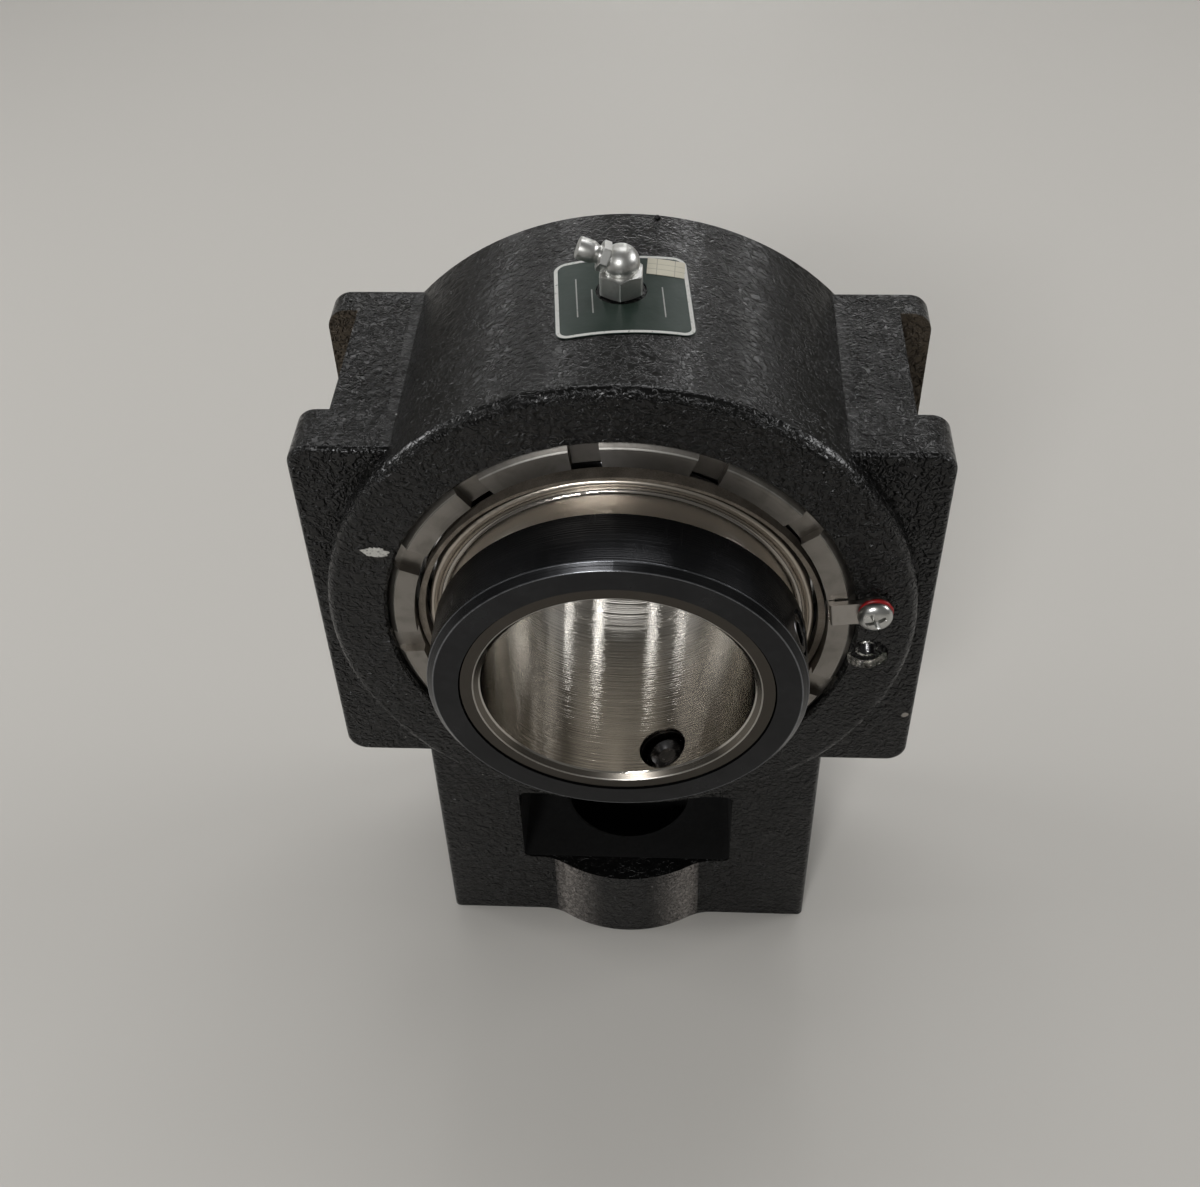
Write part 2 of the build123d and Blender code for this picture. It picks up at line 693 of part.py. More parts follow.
# Grease fitting: tapered shank, hexagon and ball head, bored through to the leaning nipple
ball_z = barrel_radius + fitting_ball_height
ball_centre = Vector(0, fitting_y, ball_z)
lean = radians(nipple_lean)
nipple_direction = Vector(-cos(lean), 0, sin(lean))
nipple_axis = Axis((0, fitting_y, ball_z), (-cos(lean), 0, sin(lean)))
nipple_hex_end = nipple_hex_start + nipple_hex_height
nipple_length = nipple_hex_end + nipple_reach
nipple_profile = Plane(origin=ball_centre, x_dir=nipple_direction, z_dir=(0, 1, 0))
nipple_square = Plane(origin=ball_centre, x_dir=(0, 1, 0), z_dir=nipple_direction)
foot_z = barrel_radius + plate_gap + plate_thickness + sticker_thickness

with BuildPart() as grease_fitting:
    with Locations(ball_centre):
        Sphere(fitting_ball_radius)
    with BuildSketch(Plane.XY.offset(foot_z)):
        with Locations((0, fitting_y)):
            RegularPolygon(fitting_hex / 2, 6, major_radius=False, rotation=fitting_hex_turn)
    extrude(amount=fitting_hex_height)
    with BuildSketch(Plane.XY.offset(foot_z)):
        with Locations((0, fitting_y)):
            Circle(fitting_shank_diameter / 2)
    extrude(amount=-fitting_shank_length)
    with BuildSketch(Plane.XY.offset(foot_z - fitting_shank_length)):
        with Locations((0, fitting_y)):
            Circle(fitting_passage_diameter / 2)
    extrude(amount=ball_z - foot_z + fitting_shank_length, mode=Mode.SUBTRACT)
    with BuildSketch(nipple_square.offset(nipple_hex_start)):
        Circle(2 * fitting_ball_radius)
    extrude(amount=fitting_ball_radius, mode=Mode.SUBTRACT)
    with BuildSketch(nipple_square):
        Circle(nipple_shank_diameter / 2 + thread_gap)
    extrude(amount=fitting_ball_radius, mode=Mode.SUBTRACT)
export(grease_fitting, "grease_fitting")

with BuildPart() as grease_nipple:
    with BuildSketch(nipple_square.offset(nipple_hex_start)):
        RegularPolygon(nipple_hex / 2, 6, major_radius=False)
    extrude(amount=nipple_hex_height)
    with BuildSketch(nipple_profile):
        neck = nipple_neck_diameter / 2
        shoulder = nipple_shoulder_diameter / 2
        tip = nipple_tip_diameter / 2
        shank = nipple_shank_diameter / 2
        with BuildLine():
            Polyline((nipple_root, 0), (nipple_root, shank), (nipple_hex_end, shank),
                     (nipple_hex_end, neck), (nipple_hex_end + nipple_neck_length, neck),
                     (nipple_hex_end + nipple_shoulder_start, shoulder),
                     (nipple_hex_end + nipple_shoulder_end, shoulder), (nipple_length, tip),
                     (nipple_length, 0), (nipple_root, 0))
        make_face()
    revolve(axis=nipple_axis)
    # Bore for the check ball and its spring, closed to a small inlet at the tip
    ball_reach = nipple_length - nipple_inlet_length
    with BuildSketch(nipple_square):
        Circle((check_ball_diameter + nipple_bore_play) / 2)
    extrude(amount=ball_reach, mode=Mode.SUBTRACT)
    with BuildSketch(nipple_square):
        Circle(nipple_inlet_diameter / 2)
    extrude(amount=nipple_length, mode=Mode.SUBTRACT)
export(grease_nipple, "grease_nipple")

# Check ball, held against the inlet by a spring that stands on a ledge in the bore
check_ball_seat = sqrt(check_ball_diameter ** 2 - nipple_inlet_diameter ** 2) / 2
check_ball_place = ball_reach - check_ball_seat - check_ball_gap
with BuildPart() as check_ball:
    with Locations(ball_centre + nipple_direction * check_ball_place):
        Sphere(check_ball_diameter / 2)
export(check_ball, "check_ball")

spring_top = check_ball_place - check_ball_diameter / 2
with BuildPart() as nipple_spring:
    spring_height = spring_top - spring_wire - 2 * spring_foot
    base = ball_centre + nipple_direction * (spring_foot + spring_wire)
    coil_radius = (check_ball_diameter - spring_play - spring_wire) / 2
    with BuildLine() as coil:
        Helix(pitch=spring_height / spring_turns, height=spring_height, radius=coil_radius,
              center=base, direction=nipple_direction)
    with BuildSketch(Plane(origin=coil.line @ 0, z_dir=coil.line % 0)):
        Circle(spring_wire / 2)
    sweep()
export(nipple_spring, "nipple_spring")

# Foil nameplate, curved round the barrel, and the sticker over its corner
with BuildPart() as nameplate:
    with BuildSketch(front_plane(plate_y)):
        Circle(barrel_radius + plate_gap + plate_thickness)
        Circle(barrel_radius + plate_gap, mode=Mode.SUBTRACT)
    extrude(amount=plate_width, both=True)
    with BuildSketch(Plane.XY):
        with Locations((plate_x, plate_y)):
            RectangleRounded(plate_width, plate_depth, plate_corner_radius, rotation=plate_turn)
        with Locations((0, fitting_y)):
            Circle(plate_hole_diameter / 2, mode=Mode.SUBTRACT)
    extrude(amount=2 * barrel_radius, mode=Mode.INTERSECT)
export(nameplate, "nameplate")

with BuildPart() as sticker:
    with BuildSketch(front_plane(sticker_y)):
        Circle(barrel_radius + 2 * plate_gap + plate_thickness + sticker_thickness)
        Circle(barrel_radius + 2 * plate_gap + plate_thickness, mode=Mode.SUBTRACT)
    extrude(amount=sticker_width, both=True)
    with BuildSketch(Plane.XY):
        with Locations((sticker_x, sticker_y)):
            Rectangle(sticker_width, sticker_depth, rotation=sticker_turn)
    extrude(amount=2 * barrel_radius, mode=Mode.INTERSECT)
export(sticker, "sticker")
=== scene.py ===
"""Looks of a conveyor take-up bearing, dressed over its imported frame.

Lengths in this file are in millimetres unless a name says otherwise; the mesh builder turns them into
metres. The frame is the part's own: +Y from the front to the back, +Z up, origin at the bearing's centre.
"""

from __future__ import annotations

import json
import logging
from dataclasses import dataclass, field
from enum import Enum
from math import cos, hypot, pi, radians, sin, tan
from typing import Any, Callable, Mapping, Sequence

import bpy
from mathutils import Matrix, Vector, noise

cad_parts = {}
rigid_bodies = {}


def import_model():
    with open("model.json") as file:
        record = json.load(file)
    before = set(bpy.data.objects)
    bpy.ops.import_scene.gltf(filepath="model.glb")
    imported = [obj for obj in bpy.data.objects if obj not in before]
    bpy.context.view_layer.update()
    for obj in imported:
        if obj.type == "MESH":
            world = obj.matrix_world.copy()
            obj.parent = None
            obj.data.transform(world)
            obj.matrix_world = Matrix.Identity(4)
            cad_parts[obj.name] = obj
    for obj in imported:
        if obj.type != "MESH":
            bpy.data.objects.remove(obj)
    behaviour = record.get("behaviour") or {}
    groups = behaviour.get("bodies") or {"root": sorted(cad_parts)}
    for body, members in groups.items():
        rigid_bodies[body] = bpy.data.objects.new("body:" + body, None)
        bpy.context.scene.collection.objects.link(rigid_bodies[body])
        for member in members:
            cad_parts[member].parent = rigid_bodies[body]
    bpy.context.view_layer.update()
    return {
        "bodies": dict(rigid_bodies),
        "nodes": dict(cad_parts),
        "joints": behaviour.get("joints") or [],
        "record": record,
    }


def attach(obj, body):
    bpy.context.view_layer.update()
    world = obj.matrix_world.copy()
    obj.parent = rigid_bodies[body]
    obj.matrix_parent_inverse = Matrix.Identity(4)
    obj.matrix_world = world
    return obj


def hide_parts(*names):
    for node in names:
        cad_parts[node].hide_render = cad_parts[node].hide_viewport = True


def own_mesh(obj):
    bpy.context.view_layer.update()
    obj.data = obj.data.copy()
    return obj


LOG = logging.getLogger("take_up_bearing")
MM = 0.001
DROOP = radians(3.0)
HEXAGON_CORNER = 1.135
HEXAGON_LAND = 0.965
Pair = tuple[float, float]
Triple = tuple[float, float, float]
Colour = Triple
Material = bpy.types.Material
Socket = bpy.types.NodeSocket
Settings = Mapping[str, Any] | None
Inputs = Mapping[str | int, Any] | None


class Body(str, Enum):
    """The moving groups that the new pieces ride on."""

    HOUSING = "housing"
    INNER = "inner"


class Lamp(Enum):
    """Where each soft lamp stands, and its size, in metres, with its power in watts."""

    OVERHEAD = ((0.05, 0.55, 1.2), (0.9, 0.3), 3.4)
    FRONT = ((-0.3, -1.2, 0.8), (0.3, 0.15), 7.0)
    LEFT = ((-1.1, 0.1, 0.45), (0.25, 0.6), 4.5)
    RIGHT = ((1.1, 0.2, 0.5), (0.25, 0.6), 4.0)
    BACK = ((0.0, 1.8, 0.9), (5.0, 0.8), 3.0)
    FAR_LEFT_TUBE = ((-0.85, 0.9, 0.6), (0.02, 1.4), 0.8)
    LEFT_TUBE = ((-0.3, 0.9, 0.6), (0.02, 1.4), 0.8)
    RIGHT_TUBE = ((0.25, 0.9, 0.6), (0.02, 1.4), 1.0)
    FAR_RIGHT_TUBE = ((0.75, 0.9, 0.6), (0.02, 1.4), 0.8)


# Shader maths


def math_method(operation: str, swapped: bool = False) -> Callable[..., Value]:
    """Make a method of Value that adds one Math node.

    Args:
        operation: The node's operation.
        swapped: Whether the other operand comes first.

    Returns:
        The method.
    """
    def method(value: Value, *others: Value | float) -> Value:
        """Return the result of the operation."""
        operands = (*others, value) if swapped else (value, *others)
        return value.nodes.value("ShaderNodeMath", {"operation": operation}, dict(enumerate(operands)))

    return method


@dataclass(eq=False)
class Value:
    """An output socket with a number that varies over a surface: its operators add Math nodes."""

    nodes: Nodes
    socket: Socket

    __add__ = __radd__ = math_method("ADD")
    __sub__ = math_method("SUBTRACT")
    __rsub__ = math_method("SUBTRACT", swapped=True)
    __mul__ = __rmul__ = math_method("MULTIPLY")
    __gt__ = math_method("GREATER_THAN")
    __lt__ = math_method("LESS_THAN")
    __abs__ = math_method("ABSOLUTE")
    root = math_method("SQRT")
    larger = math_method("MAXIMUM")
    smaller = math_method("MINIMUM")

    def clamped(self) -> Value:
        """Return the value kept between 0 and 1."""
        settings = {"operation": "ADD", "use_clamp": True}
        return self.nodes.value("ShaderNodeMath", settings, {0: self, 1: 0.0})

    def hypotenuse(self, other: Value) -> Value:
        """Return the distance that two distances at right angles make."""
        return (self * self + other * other).root()

    def between(self, low: float, high: float) -> Value:
        """Return 1 where the value lies between two limits."""
        return (self > low) * (self < high)

    def ramp(self, low: float, high: float) -> Value:
        """Return a smooth rise from 0 at the low limit to 1 at the high one."""
        inputs = {"Value": self, "From Min": low, "From Max": high}
        return self.nodes.value("ShaderNodeMapRange", {"interpolation_type": "SMOOTHSTEP"}, inputs)


class Nodes:
    """The nodes of a material or of the world."""

    def __init__(self, tree: bpy.types.NodeTree) -> None:
        """Start with an empty tree."""
        self.tree = tree
        self.tree.nodes.clear()

    def node(self, kind: str, settings: Settings = None, inputs: Inputs = None) -> bpy.types.Node:
        """Add a node.

        Args:
            kind: The node's type.
            settings: Its own settings, and under "stops" a ramp's places and colours.
            inputs: Values or links, by the name or number of each socket.

        Returns:
            The node.
        """
        node = self.tree.nodes.new(kind)
        for key, setting in (settings or {}).items():
            if key == "stops":
                self._set_stops(node, setting)
            else:
                setattr(node, key, setting)
        for key, given in (inputs or {}).items():
            self.feed(node.inputs[key], given)
        return node

    @staticmethod
    def _set_stops(node: bpy.types.Node, stops: Sequence[tuple[float, Colour]]) -> None:
        """Give a colour ramp its stops.

        Args:
            node: The ramp.
            stops: Places and colours, in order.
        """
        elements = node.color_ramp.elements
        while len(elements) < len(stops):
            elements.new(1.0)
        for element, (place, colour) in zip(elements, stops):
            element.position = place
            element.color = (*colour, 1.0)

    def feed(self, socket: Socket, given: Any) -> None:
        """Link a socket, or set its value.

        Args:
            socket: The input.
            given: A value wrapper, an output socket, or a plain value.
        """
        if isinstance(given, Value):
            self.tree.links.new(given.socket, socket)
        elif isinstance(given, Socket):
            self.tree.links.new(given, socket)
        elif isinstance(given, tuple) and len(given) == 3 and socket.type == "RGBA":
            socket.default_value = (*given, 1.0)
        else:
            socket.default_value = given

    def value(self, kind: str, settings: Settings = None, inputs: Inputs = None,
              output: str | int = 0) -> Value:
        """Add a node and return one of its outputs, wrapped."""
        return Value(self, self.node(kind, settings, inputs).outputs[output])


class Graph(Nodes):
    """The nodes of one material, with a Principled shader at their end."""

    def __init__(self, name: str) -> None:
        """Start a material.

        Args:
            name: The material's name.
        """
        self.material = bpy.data.materials.new(name)
        self.material.use_nodes = True
        super().__init__(self.material.node_tree)
        self.shader = self.node("ShaderNodeBsdfPrincipled")
        self.node("ShaderNodeOutputMaterial", None, {"Surface": self.shader.outputs[0]})
        self.coordinates = self.node("ShaderNodeTexCoord")
        scaled = self.node("ShaderNodeVectorMath", {"operation": "SCALE"},
                           {0: self.coordinates.outputs["Object"], "Scale": 1 / MM})
        self.place = scaled.outputs[0]

    def split(self, vector: Socket) -> tuple[Value, ...]:
        """Return the three numbers of a vector."""
        node = self.node("ShaderNodeSeparateXYZ", None, {0: vector})
        return tuple(Value(self, output) for output in node.outputs)

    def joined(self, x: Value | float, y: Value | float, z: Value | float) -> Socket:
        """Return a vector made of three numbers."""
        return self.node("ShaderNodeCombineXYZ", None, {0: x, 1: y, 2: z}).outputs[0]

    def grain(self, size: float, detail: float = 2.0, vector: Socket | None = None,
              warp: float = 0.0) -> Value:
        """Return noise from 0 to 1, by its grains' size, finer layers, place and distortion."""
        inputs = {"Vector": vector or self.place, "Scale": 1 / size, "Detail": detail, "Distortion": warp}
        return self.value("ShaderNodeTexNoise", None, inputs, "Fac")

    def blend(self, mask: Value | float, first: Any, second: Any) -> Socket:
        """Return the first of two colours where the mask is 0, and the second where it is 1."""
        node = self.node("ShaderNodeMix", {"data_type": "RGBA"}, {0: mask, 6: first, 7: second})
        return node.outputs[2]

    def finish(self, colour: Any, rough: Value | float, metal: Value | float = 0.0,
               height: Value | None = None) -> Material:
        """Feed the shader.

        Args:
            colour: Its base colour, plain or linked.
            rough: Its roughness.
            metal: How far it is a metal.
            height: Its relief in millimetres.

        Returns:
            The material.
        """
        for name, given in (("Base Color", colour), ("Roughness", rough), ("Metallic", metal)):
            self.feed(self.shader.inputs[name], given)
        if height is not None:
            bump = self.node("ShaderNodeBump", None, {"Height": height, "Distance": MM})
            self.feed(self.shader.inputs["Normal"], bump.outputs[0])
        return self.material

    def shaft_axes(self) -> tuple[Value, Value, Value]:
        """Work out where a point lies by the drooping shaft.

        Returns:
            Its place across, along and above the shaft.
        """
        x, y, z = self.split(self.place)
        along = y * cos(DROOP) + z * sin(DROOP)
        return x, along, z * cos(DROOP) - y * sin(DROOP)

    def shaft_place(self) -> tuple[Value, Value]:
        """Return how far along the shaft a point lies, and how far out from it."""
        across, along, above = self.shaft_axes()
        return along, across.hypotenuse(above)

    def turned_place(self, middle: Pair, turn: float) -> tuple[Value, Value]:
        """Work out where a point lies on something that is turned on the barrel.

        Args:
            middle: Its centre, seen from above.
            turn: Its turn in degrees, seen from above.

        Returns:
            Its place across and along that thing.
        """
        x, y, _ = self.split(self.place)
        x, y = x - middle[0], y - middle[1]
        cosine, sine = cos(radians(turn)), sin(radians(turn))
        return x * cosine + y * sine, y * cosine - x * sine

    def housing_place(self) -> tuple[Value, Value]:
        """Return a point's place along the housing's bore, and how far out from it."""
        x, y, z = self.split(self.place)
        return y, x.hypotenuse(z)


# Finishes


@dataclass(frozen=True)
class CastPaint:
    """Semi-gloss black paint over a sand casting, with its few machined places bare."""

    name: str = "black_cast_paint"
    paint: Colour = (0.0032, 0.0031, 0.003)
    dust: Colour = (0.013, 0.012, 0.011)
    # painted reflection: a warm pale colour for the floor's glare mirrored on the base's lower side faces
    painted_flank_glare: Colour = (0.66, 0.60, 0.555)
    speck: Colour = (0.55, 0.54, 0.50)
    gloss: float = 0.36
    bare_groove: Colour = (0.085, 0.068, 0.050)
    bare_spot: Colour = (0.52, 0.51, 0.48)
    groove_face: float = 29.3
    groove_width: float = 0.16
    groove_floor: float = 77.6
    spot: Pair = (69.4, -9.137)
    spot_rim: Pair = (4.9, 5.9)
    spot_top: float = -1.5
    spot_centre: Pair = (2.3, 3.1)
    spot_depth: Pair = (-41.35, -38.9)
    spot_ragged: float = 0.9
    sand_size: float = 2.0
    sand_relief: float = 1.5
    flank_top: float = -121.0
    flank_front: float = -34.5
    window_top: float = -96.0
    window_side: float = 38.5
    window_span: Pair = (-33.0, 33.0)
    flange_start: float = 62.0
    flange_top: float = 58.0

    def build(self) -> Material:
        """Build the material.

        Returns:
            The material.
        """
        graph = Graph(self.name)
        x, y, z = graph.split(graph.place)
        normal_x, normal_y, normal_z = graph.split(graph.coordinates.outputs["Normal"])
        upright = (1 - abs(normal_z)).ramp(0.25, 0.95)
        flange = (abs(x) > self.flange_start) * (z < self.flange_top)
        front = abs(normal_y).ramp(0.5, 0.95).larger(flange * 0.45)
        broad = graph.grain(22.0, 3.0)
        sand = graph.grain(self.sand_size, warp=1.1).ramp(0.38, 0.62)
        fine = graph.grain(0.5)
        waves = graph.grain(6.0)
        rough_places = (broad - 0.35).ramp(0.0, 0.3)
        inside = (z < self.window_top) * (abs(x) < self.window_side) * y.between(*self.window_span)
        relief = (0.10 + 0.20 * upright + 0.70 * front) * (0.55 + 0.45 * rough_places)
        relief = relief * (1 - 0.8 * inside)
        height = sand * relief * self.sand_relief + fine * relief * 0.06 + waves * 0.30
        groove = (abs(y - self.groove_face) < self.groove_width / 2) * (abs(x) > self.groove_floor)
        dx, dz = x - self.spot[0], z - self.spot[1]
        ragged = dx.hypotenuse(dz) + (graph.grain(1.2) - 0.5) * self.spot_ragged
        bare = ragged.between(*self.spot_rim) * (dz < self.spot_top)
        bare = bare.larger(ragged.between(*self.spot_centre) * (graph.grain(2.5, 1.0) > 0.5))
        bare = bare * y.between(*self.spot_depth)
        cells = graph.node("ShaderNodeTexVoronoi", None, {"Vector": graph.place, "Scale": 0.22})
        rare = graph.value("ShaderNodeSeparateColor", None, {0: cells.outputs["Color"]})
        specks = (Value(graph, cells.outputs["Distance"]) < 0.05) * (rare > 0.93)
        # Painted reflection: a warm speckle on the base's lower side faces stands in for the floor's glare
        # mirrored there.
        flank = abs(normal_x).ramp(0.15, 0.75) * (z < self.flank_top) * (y < self.flank_front)
        flank = flank * graph.grain(1.0, 4.0).ramp(0.0, 0.9)
        colour = graph.blend(broad.ramp(0.55, 0.85) * 0.45, self.paint, self.dust)
        for mask, layer in ((flank, self.painted_flank_glare), (specks * 0.8, self.speck), (groove, self.bare_groove),
                            (bare, self.bare_spot)):
            colour = graph.blend(mask, colour, layer)
        rough = 0.09 + 0.18 * graph.grain(5.0) + 0.05 * sand
        rough = rough + groove * 0.2 + specks * 0.3 + flank * 0.25 + inside * 0.7
        metal = (bare + groove * 0.6 + flank * 0.2).clamped()
        graph.shader.inputs["Specular IOR Level"].default_value = self.gloss
        return graph.finish(colour, rough, metal, height)


@dataclass(frozen=True)
class Band:
    """A stretch between two radii that has its own colour, roughness and relief."""

    start: float
    end: float
    colour: Colour
    rough: float
    relief: float


@dataclass(frozen=True)
class TurnedSteel:
    """Steel with the fine rings that a lathe or grinder leaves round the shaft."""

    name: str
    colour: Colour
    rough: float = 0.25
    ring_size: float = 0.25
    ring_relief: float = 0.004
    stain: Colour = (0.30, 0.28, 0.25)
    stain_share: float = 0.25
    metal: float = 1.0
    bands: tuple[Band, ...] = ()

    def build(self) -> Material:
        """Build the material.

        Returns:
            The material.
        """
        graph = Graph(self.name)
        along, out = graph.shaft_place()
        rings = graph.grain(self.ring_size, vector=graph.joined(along, out * 0.3, 0.0))
        cloud = graph.grain(9.0, 4.0)
        colour: Any = self.colour
        rough = self.rough + 0.08 * (cloud - 0.5) + 0.05 * (rings - 0.5)
        relief: Any = self.ring_relief
        for band in self.bands:
            mask = out.between(band.start, band.end)
            colour = graph.blend(mask, colour, band.colour)
            rough = rough + mask * (band.rough - self.rough)
            relief = mask * (band.relief - self.ring_relief) + relief
        colour = graph.blend(cloud.ramp(0.5, 0.8) * self.stain_share, colour, self.stain)
        return graph.finish(colour, rough, self.metal, rings * relief)


@dataclass(frozen=True)
class NutSteel:
    """Grey satin nut, its outer chamfer painted lighter as a painted highlight, and its notch floors a
    little darker as painted shade, with scratches.
    """

    name: str = "nut_steel"
    face: Colour = (0.27, 0.252, 0.23)
    chamfer: Colour = (0.62, 0.60, 0.56)
    floor: Colour = (0.24, 0.222, 0.2)
    stain: Colour = (0.13, 0.12, 0.105)
    chamfer_start: float = 63.25
    notch_start: float = -40.45

    def build(self) -> Material:
        """Build the material.

        Returns:
            The material.
        """
        graph = Graph(self.name)
        along, out = graph.housing_place()
        rings = graph.grain(0.35, vector=graph.joined(along, out, 0.0))
        cloud = graph.grain(6.0, 4.0, warp=0.5)
        scratch = graph.grain(0.6, 3.0)
        # Painted highlight: the outer chamfer is coloured lighter than the face.
        light = out.ramp(self.chamfer_start - 0.2, self.chamfer_start + 0.2)
        colour = graph.blend(light, self.face, self.chamfer)
        # Painted shade: the notch floors are coloured a little darker than the face, patchy with the
        # scratch noise.
        colour = graph.blend((along > self.notch_start) * (0.7 + 0.3 * scratch), colour, self.floor)
        colour = graph.blend(cloud.ramp(0.42, 0.75) * 0.45, colour, self.stain)
        rough = 0.34 + 0.16 * (cloud - 0.5) + 0.08 * light
        return graph.finish(colour, rough, 1.0, rings * 0.03 + scratch * 0.03)


@dataclass(frozen=True)
class CollarSteel:
    """Blue-black oxide on the lock collar, with a painted highlight along its chamfer edges, broken up by
    scuffs.
    """

    name: str = "collar_steel"
    oxide: Colour = (0.020, 0.0205, 0.022)
    worn: Colour = (0.034, 0.0345, 0.037)
    bright: Colour = (0.30, 0.31, 0.33)
    radius: float = 51.6
    chamfer_start: float = 49.8
    chamfer_end: float = -62.7
    front: float = -64.5

    def build(self) -> Material:
        """Build the material.

        Returns:
            The material.
        """
        graph = Graph(self.name)
        across, along, above = graph.shaft_axes()
        out = across.hypotenuse(above)
        cloud = graph.grain(12.0, 4.0)
        rings = graph.grain(0.4, vector=graph.joined(along, out, 0.0))
        streak = graph.grain(2.2, vector=graph.joined(across, along * 0.05, above))
        scuff = graph.grain(1.4, 3.0)
        # Painted highlight: thin pale lines along the chamfer edges, broken up by the scuff noise.
        outer_line = (out - self.chamfer_start).between(-0.22, 0.15) * (along < self.front + 0.3)
        side_line = (along - self.chamfer_end).between(-0.15, 0.2) * (out > self.radius - 0.4)
        line = (outer_line + side_line).clamped() * (0.15 + 0.6 * scuff)
        colour = graph.blend((cloud * 0.6 + streak * 0.4).ramp(0.35, 0.75) * 0.6, self.oxide, self.worn)
        colour = graph.blend(line.clamped(), colour, self.bright)
        height = rings * (0.02 + 0.05 * (out > self.radius - 1.0)) + scuff * 0.004
        return graph.finish(colour, 0.25 + 0.12 * (cloud - 0.5) + 0.06 * (streak - 0.5), 0.85, height)


@dataclass(frozen=True)
class PlatedZinc:
    """Bright zinc plate with a little tarnish and cast or rolled unevenness."""

    name: str
    colour: Colour = (0.66, 0.66, 0.63)
    tarnish: Colour = (0.34, 0.33, 0.29)
    rough: float = 0.27
    relief: float = 0.02

    def build(self) -> Material:
        """Build the material.

        Returns:
            The material.
        """
        graph = Graph(self.name)
        cloud = graph.grain(2.6, 4.0, warp=0.4)
        fine = graph.grain(0.45, 3.0)
        colour = graph.blend(cloud.ramp(0.48, 0.78) * 0.55, self.colour, self.tarnish)
        return graph.finish(colour, self.rough + 0.25 * (cloud - 0.4), 1.0, (fine + cloud) * self.relief)


@dataclass(frozen=True)
class Felt:
    """Brown felted fabric of the wiper rings."""

    name: str = "wiper_felt"
    brown: Colour = (0.15, 0.125, 0.10)
    light: Colour = (0.36, 0.315, 0.26)

    def build(self) -> Material:
        """Build the material.

        Returns:
            The material.
        """
        graph = Graph(self.name)
        fibre = graph.grain(0.35, 4.0, warp=1.2)
        cloud = graph.grain(5.0)
        colour = graph.blend((fibre * 0.7 + cloud * 0.5).ramp(0.35, 0.9), self.brown, self.light)
        return graph.finish(colour, 0.42 + 0.2 * fibre, 0.6, fibre * 0.12)


@dataclass(frozen=True)
class Wax:
    """Glossy red sealing wax."""

    name: str = "red_wax"
    colour: Colour = (0.42, 0.016, 0.018)
    deep: Colour = (0.25, 0.010, 0.012)

    def build(self) -> Material:
        """Build the material.

        Returns:
            The material.
        """
        graph = Graph(self.name)
        cloud = graph.grain(0.9)
        colour = graph.blend(cloud, self.colour, self.deep)
        return graph.finish(colour, 0.22 + 0.12 * cloud, height=cloud * 0.08)


@dataclass(frozen=True)
class LabelFoil:
    """Dark green foil with a white rounded border and thin plain rules."""

    name: str = "label_foil"
    green: Colour = (0.004, 0.018, 0.011)
    dull: Colour = (0.018, 0.034, 0.026)
    white: Colour = (0.60, 0.60, 0.57)
    middle: Pair = (0.4, -0.1)
    turn: float = 5.1
    half_width: float = 17.9
    half_depth: float = 17.8
    corner: float = 3.5
    border: float = 1.0
    inset: float = 0.15
    rules: tuple[Triple, ...] = (
        (-12.0, -9.0, 9.0), (-8.0, -8.0, 3.0), (10.5, -10.5, 3.0))
    rule_width: float = 0.35

    def build(self) -> Material:
        """Build the material.

        Returns:
            The material.
        """
        graph = Graph(self.name)
        x, y = graph.turned_place(self.middle, self.turn)
        past_x = abs(x) - (self.half_width - self.corner)
        past_y = abs(y) - (self.half_depth - self.corner)
        outside = past_x.larger(0.0).hypotenuse(past_y.larger(0.0))
        edge = outside + past_x.larger(past_y).smaller(0.0) - self.corner
        mask = edge.between(-self.inset - self.border, -self.inset)
        for rule_x, start, end in self.rules:
            mask = mask.larger((abs(x - rule_x) < self.rule_width / 2) * y.between(start, end) * 0.5)
        wear = graph.grain(0.8, 3.0)
        wrinkle = graph.grain(4.5)
        colour = graph.blend(wrinkle.ramp(0.5, 0.8) * 0.4, self.green, self.dull)
        colour = graph.blend(mask * wear.ramp(0.22, 0.4), colour, self.white)
        rough = 0.26 + 0.2 * wrinkle + mask * 0.1
        return graph.finish(colour, rough, (1 - mask) * 0.2, wrinkle * 0.08 + wear * 0.012)


@dataclass(frozen=True)
class Paper:
    """Cream sticker paper with a faint plain grid."""

    name: str = "sticker_paper"
    cream: Colour = (0.56, 0.53, 0.43)
    ink: Colour = (0.20, 0.19, 0.16)
    middle: Pair = (11.4, 13.1)
    turn: float = -1.5
    pitch: float = 2.4
    line_width: float = 0.2

    def build(self) -> Material:
        """Build the material.

        Returns:
            The material.
        """
        graph = Graph(self.name)
        x, y = graph.turned_place(self.middle, self.turn)
        fibre = graph.grain(0.4, 3.0)
        line_x = abs(abs(x) - self.pitch) < self.line_width / 2
        line_y = abs(abs(y) - self.pitch / 2) < self.line_width / 2
        colour = graph.blend(line_x.larger(line_y) * 0.6, self.cream, self.ink)
        return graph.finish(colour, 0.6 + 0.15 * fibre, height=fibre * 0.02)


@dataclass(frozen=True)
class WhitePaint:
    """A dab of white marking paint, thin at its edges."""

    name: str = "white_dab"
    colour: Colour = (0.60, 0.59, 0.55)
    under: Colour = (0.10, 0.10, 0.10)

    def build(self) -> Material:
        """Build the material.

        Returns:
            The material.
        """
        graph = Graph(self.name)
        streak = graph.grain(0.7, 3.0, warp=0.8)
        colour = graph.blend(streak.ramp(0.52, 0.72), self.colour, self.under)
        return graph.finish(colour, 0.45 + 0.2 * streak, height=streak * 0.05)


# Mesh building


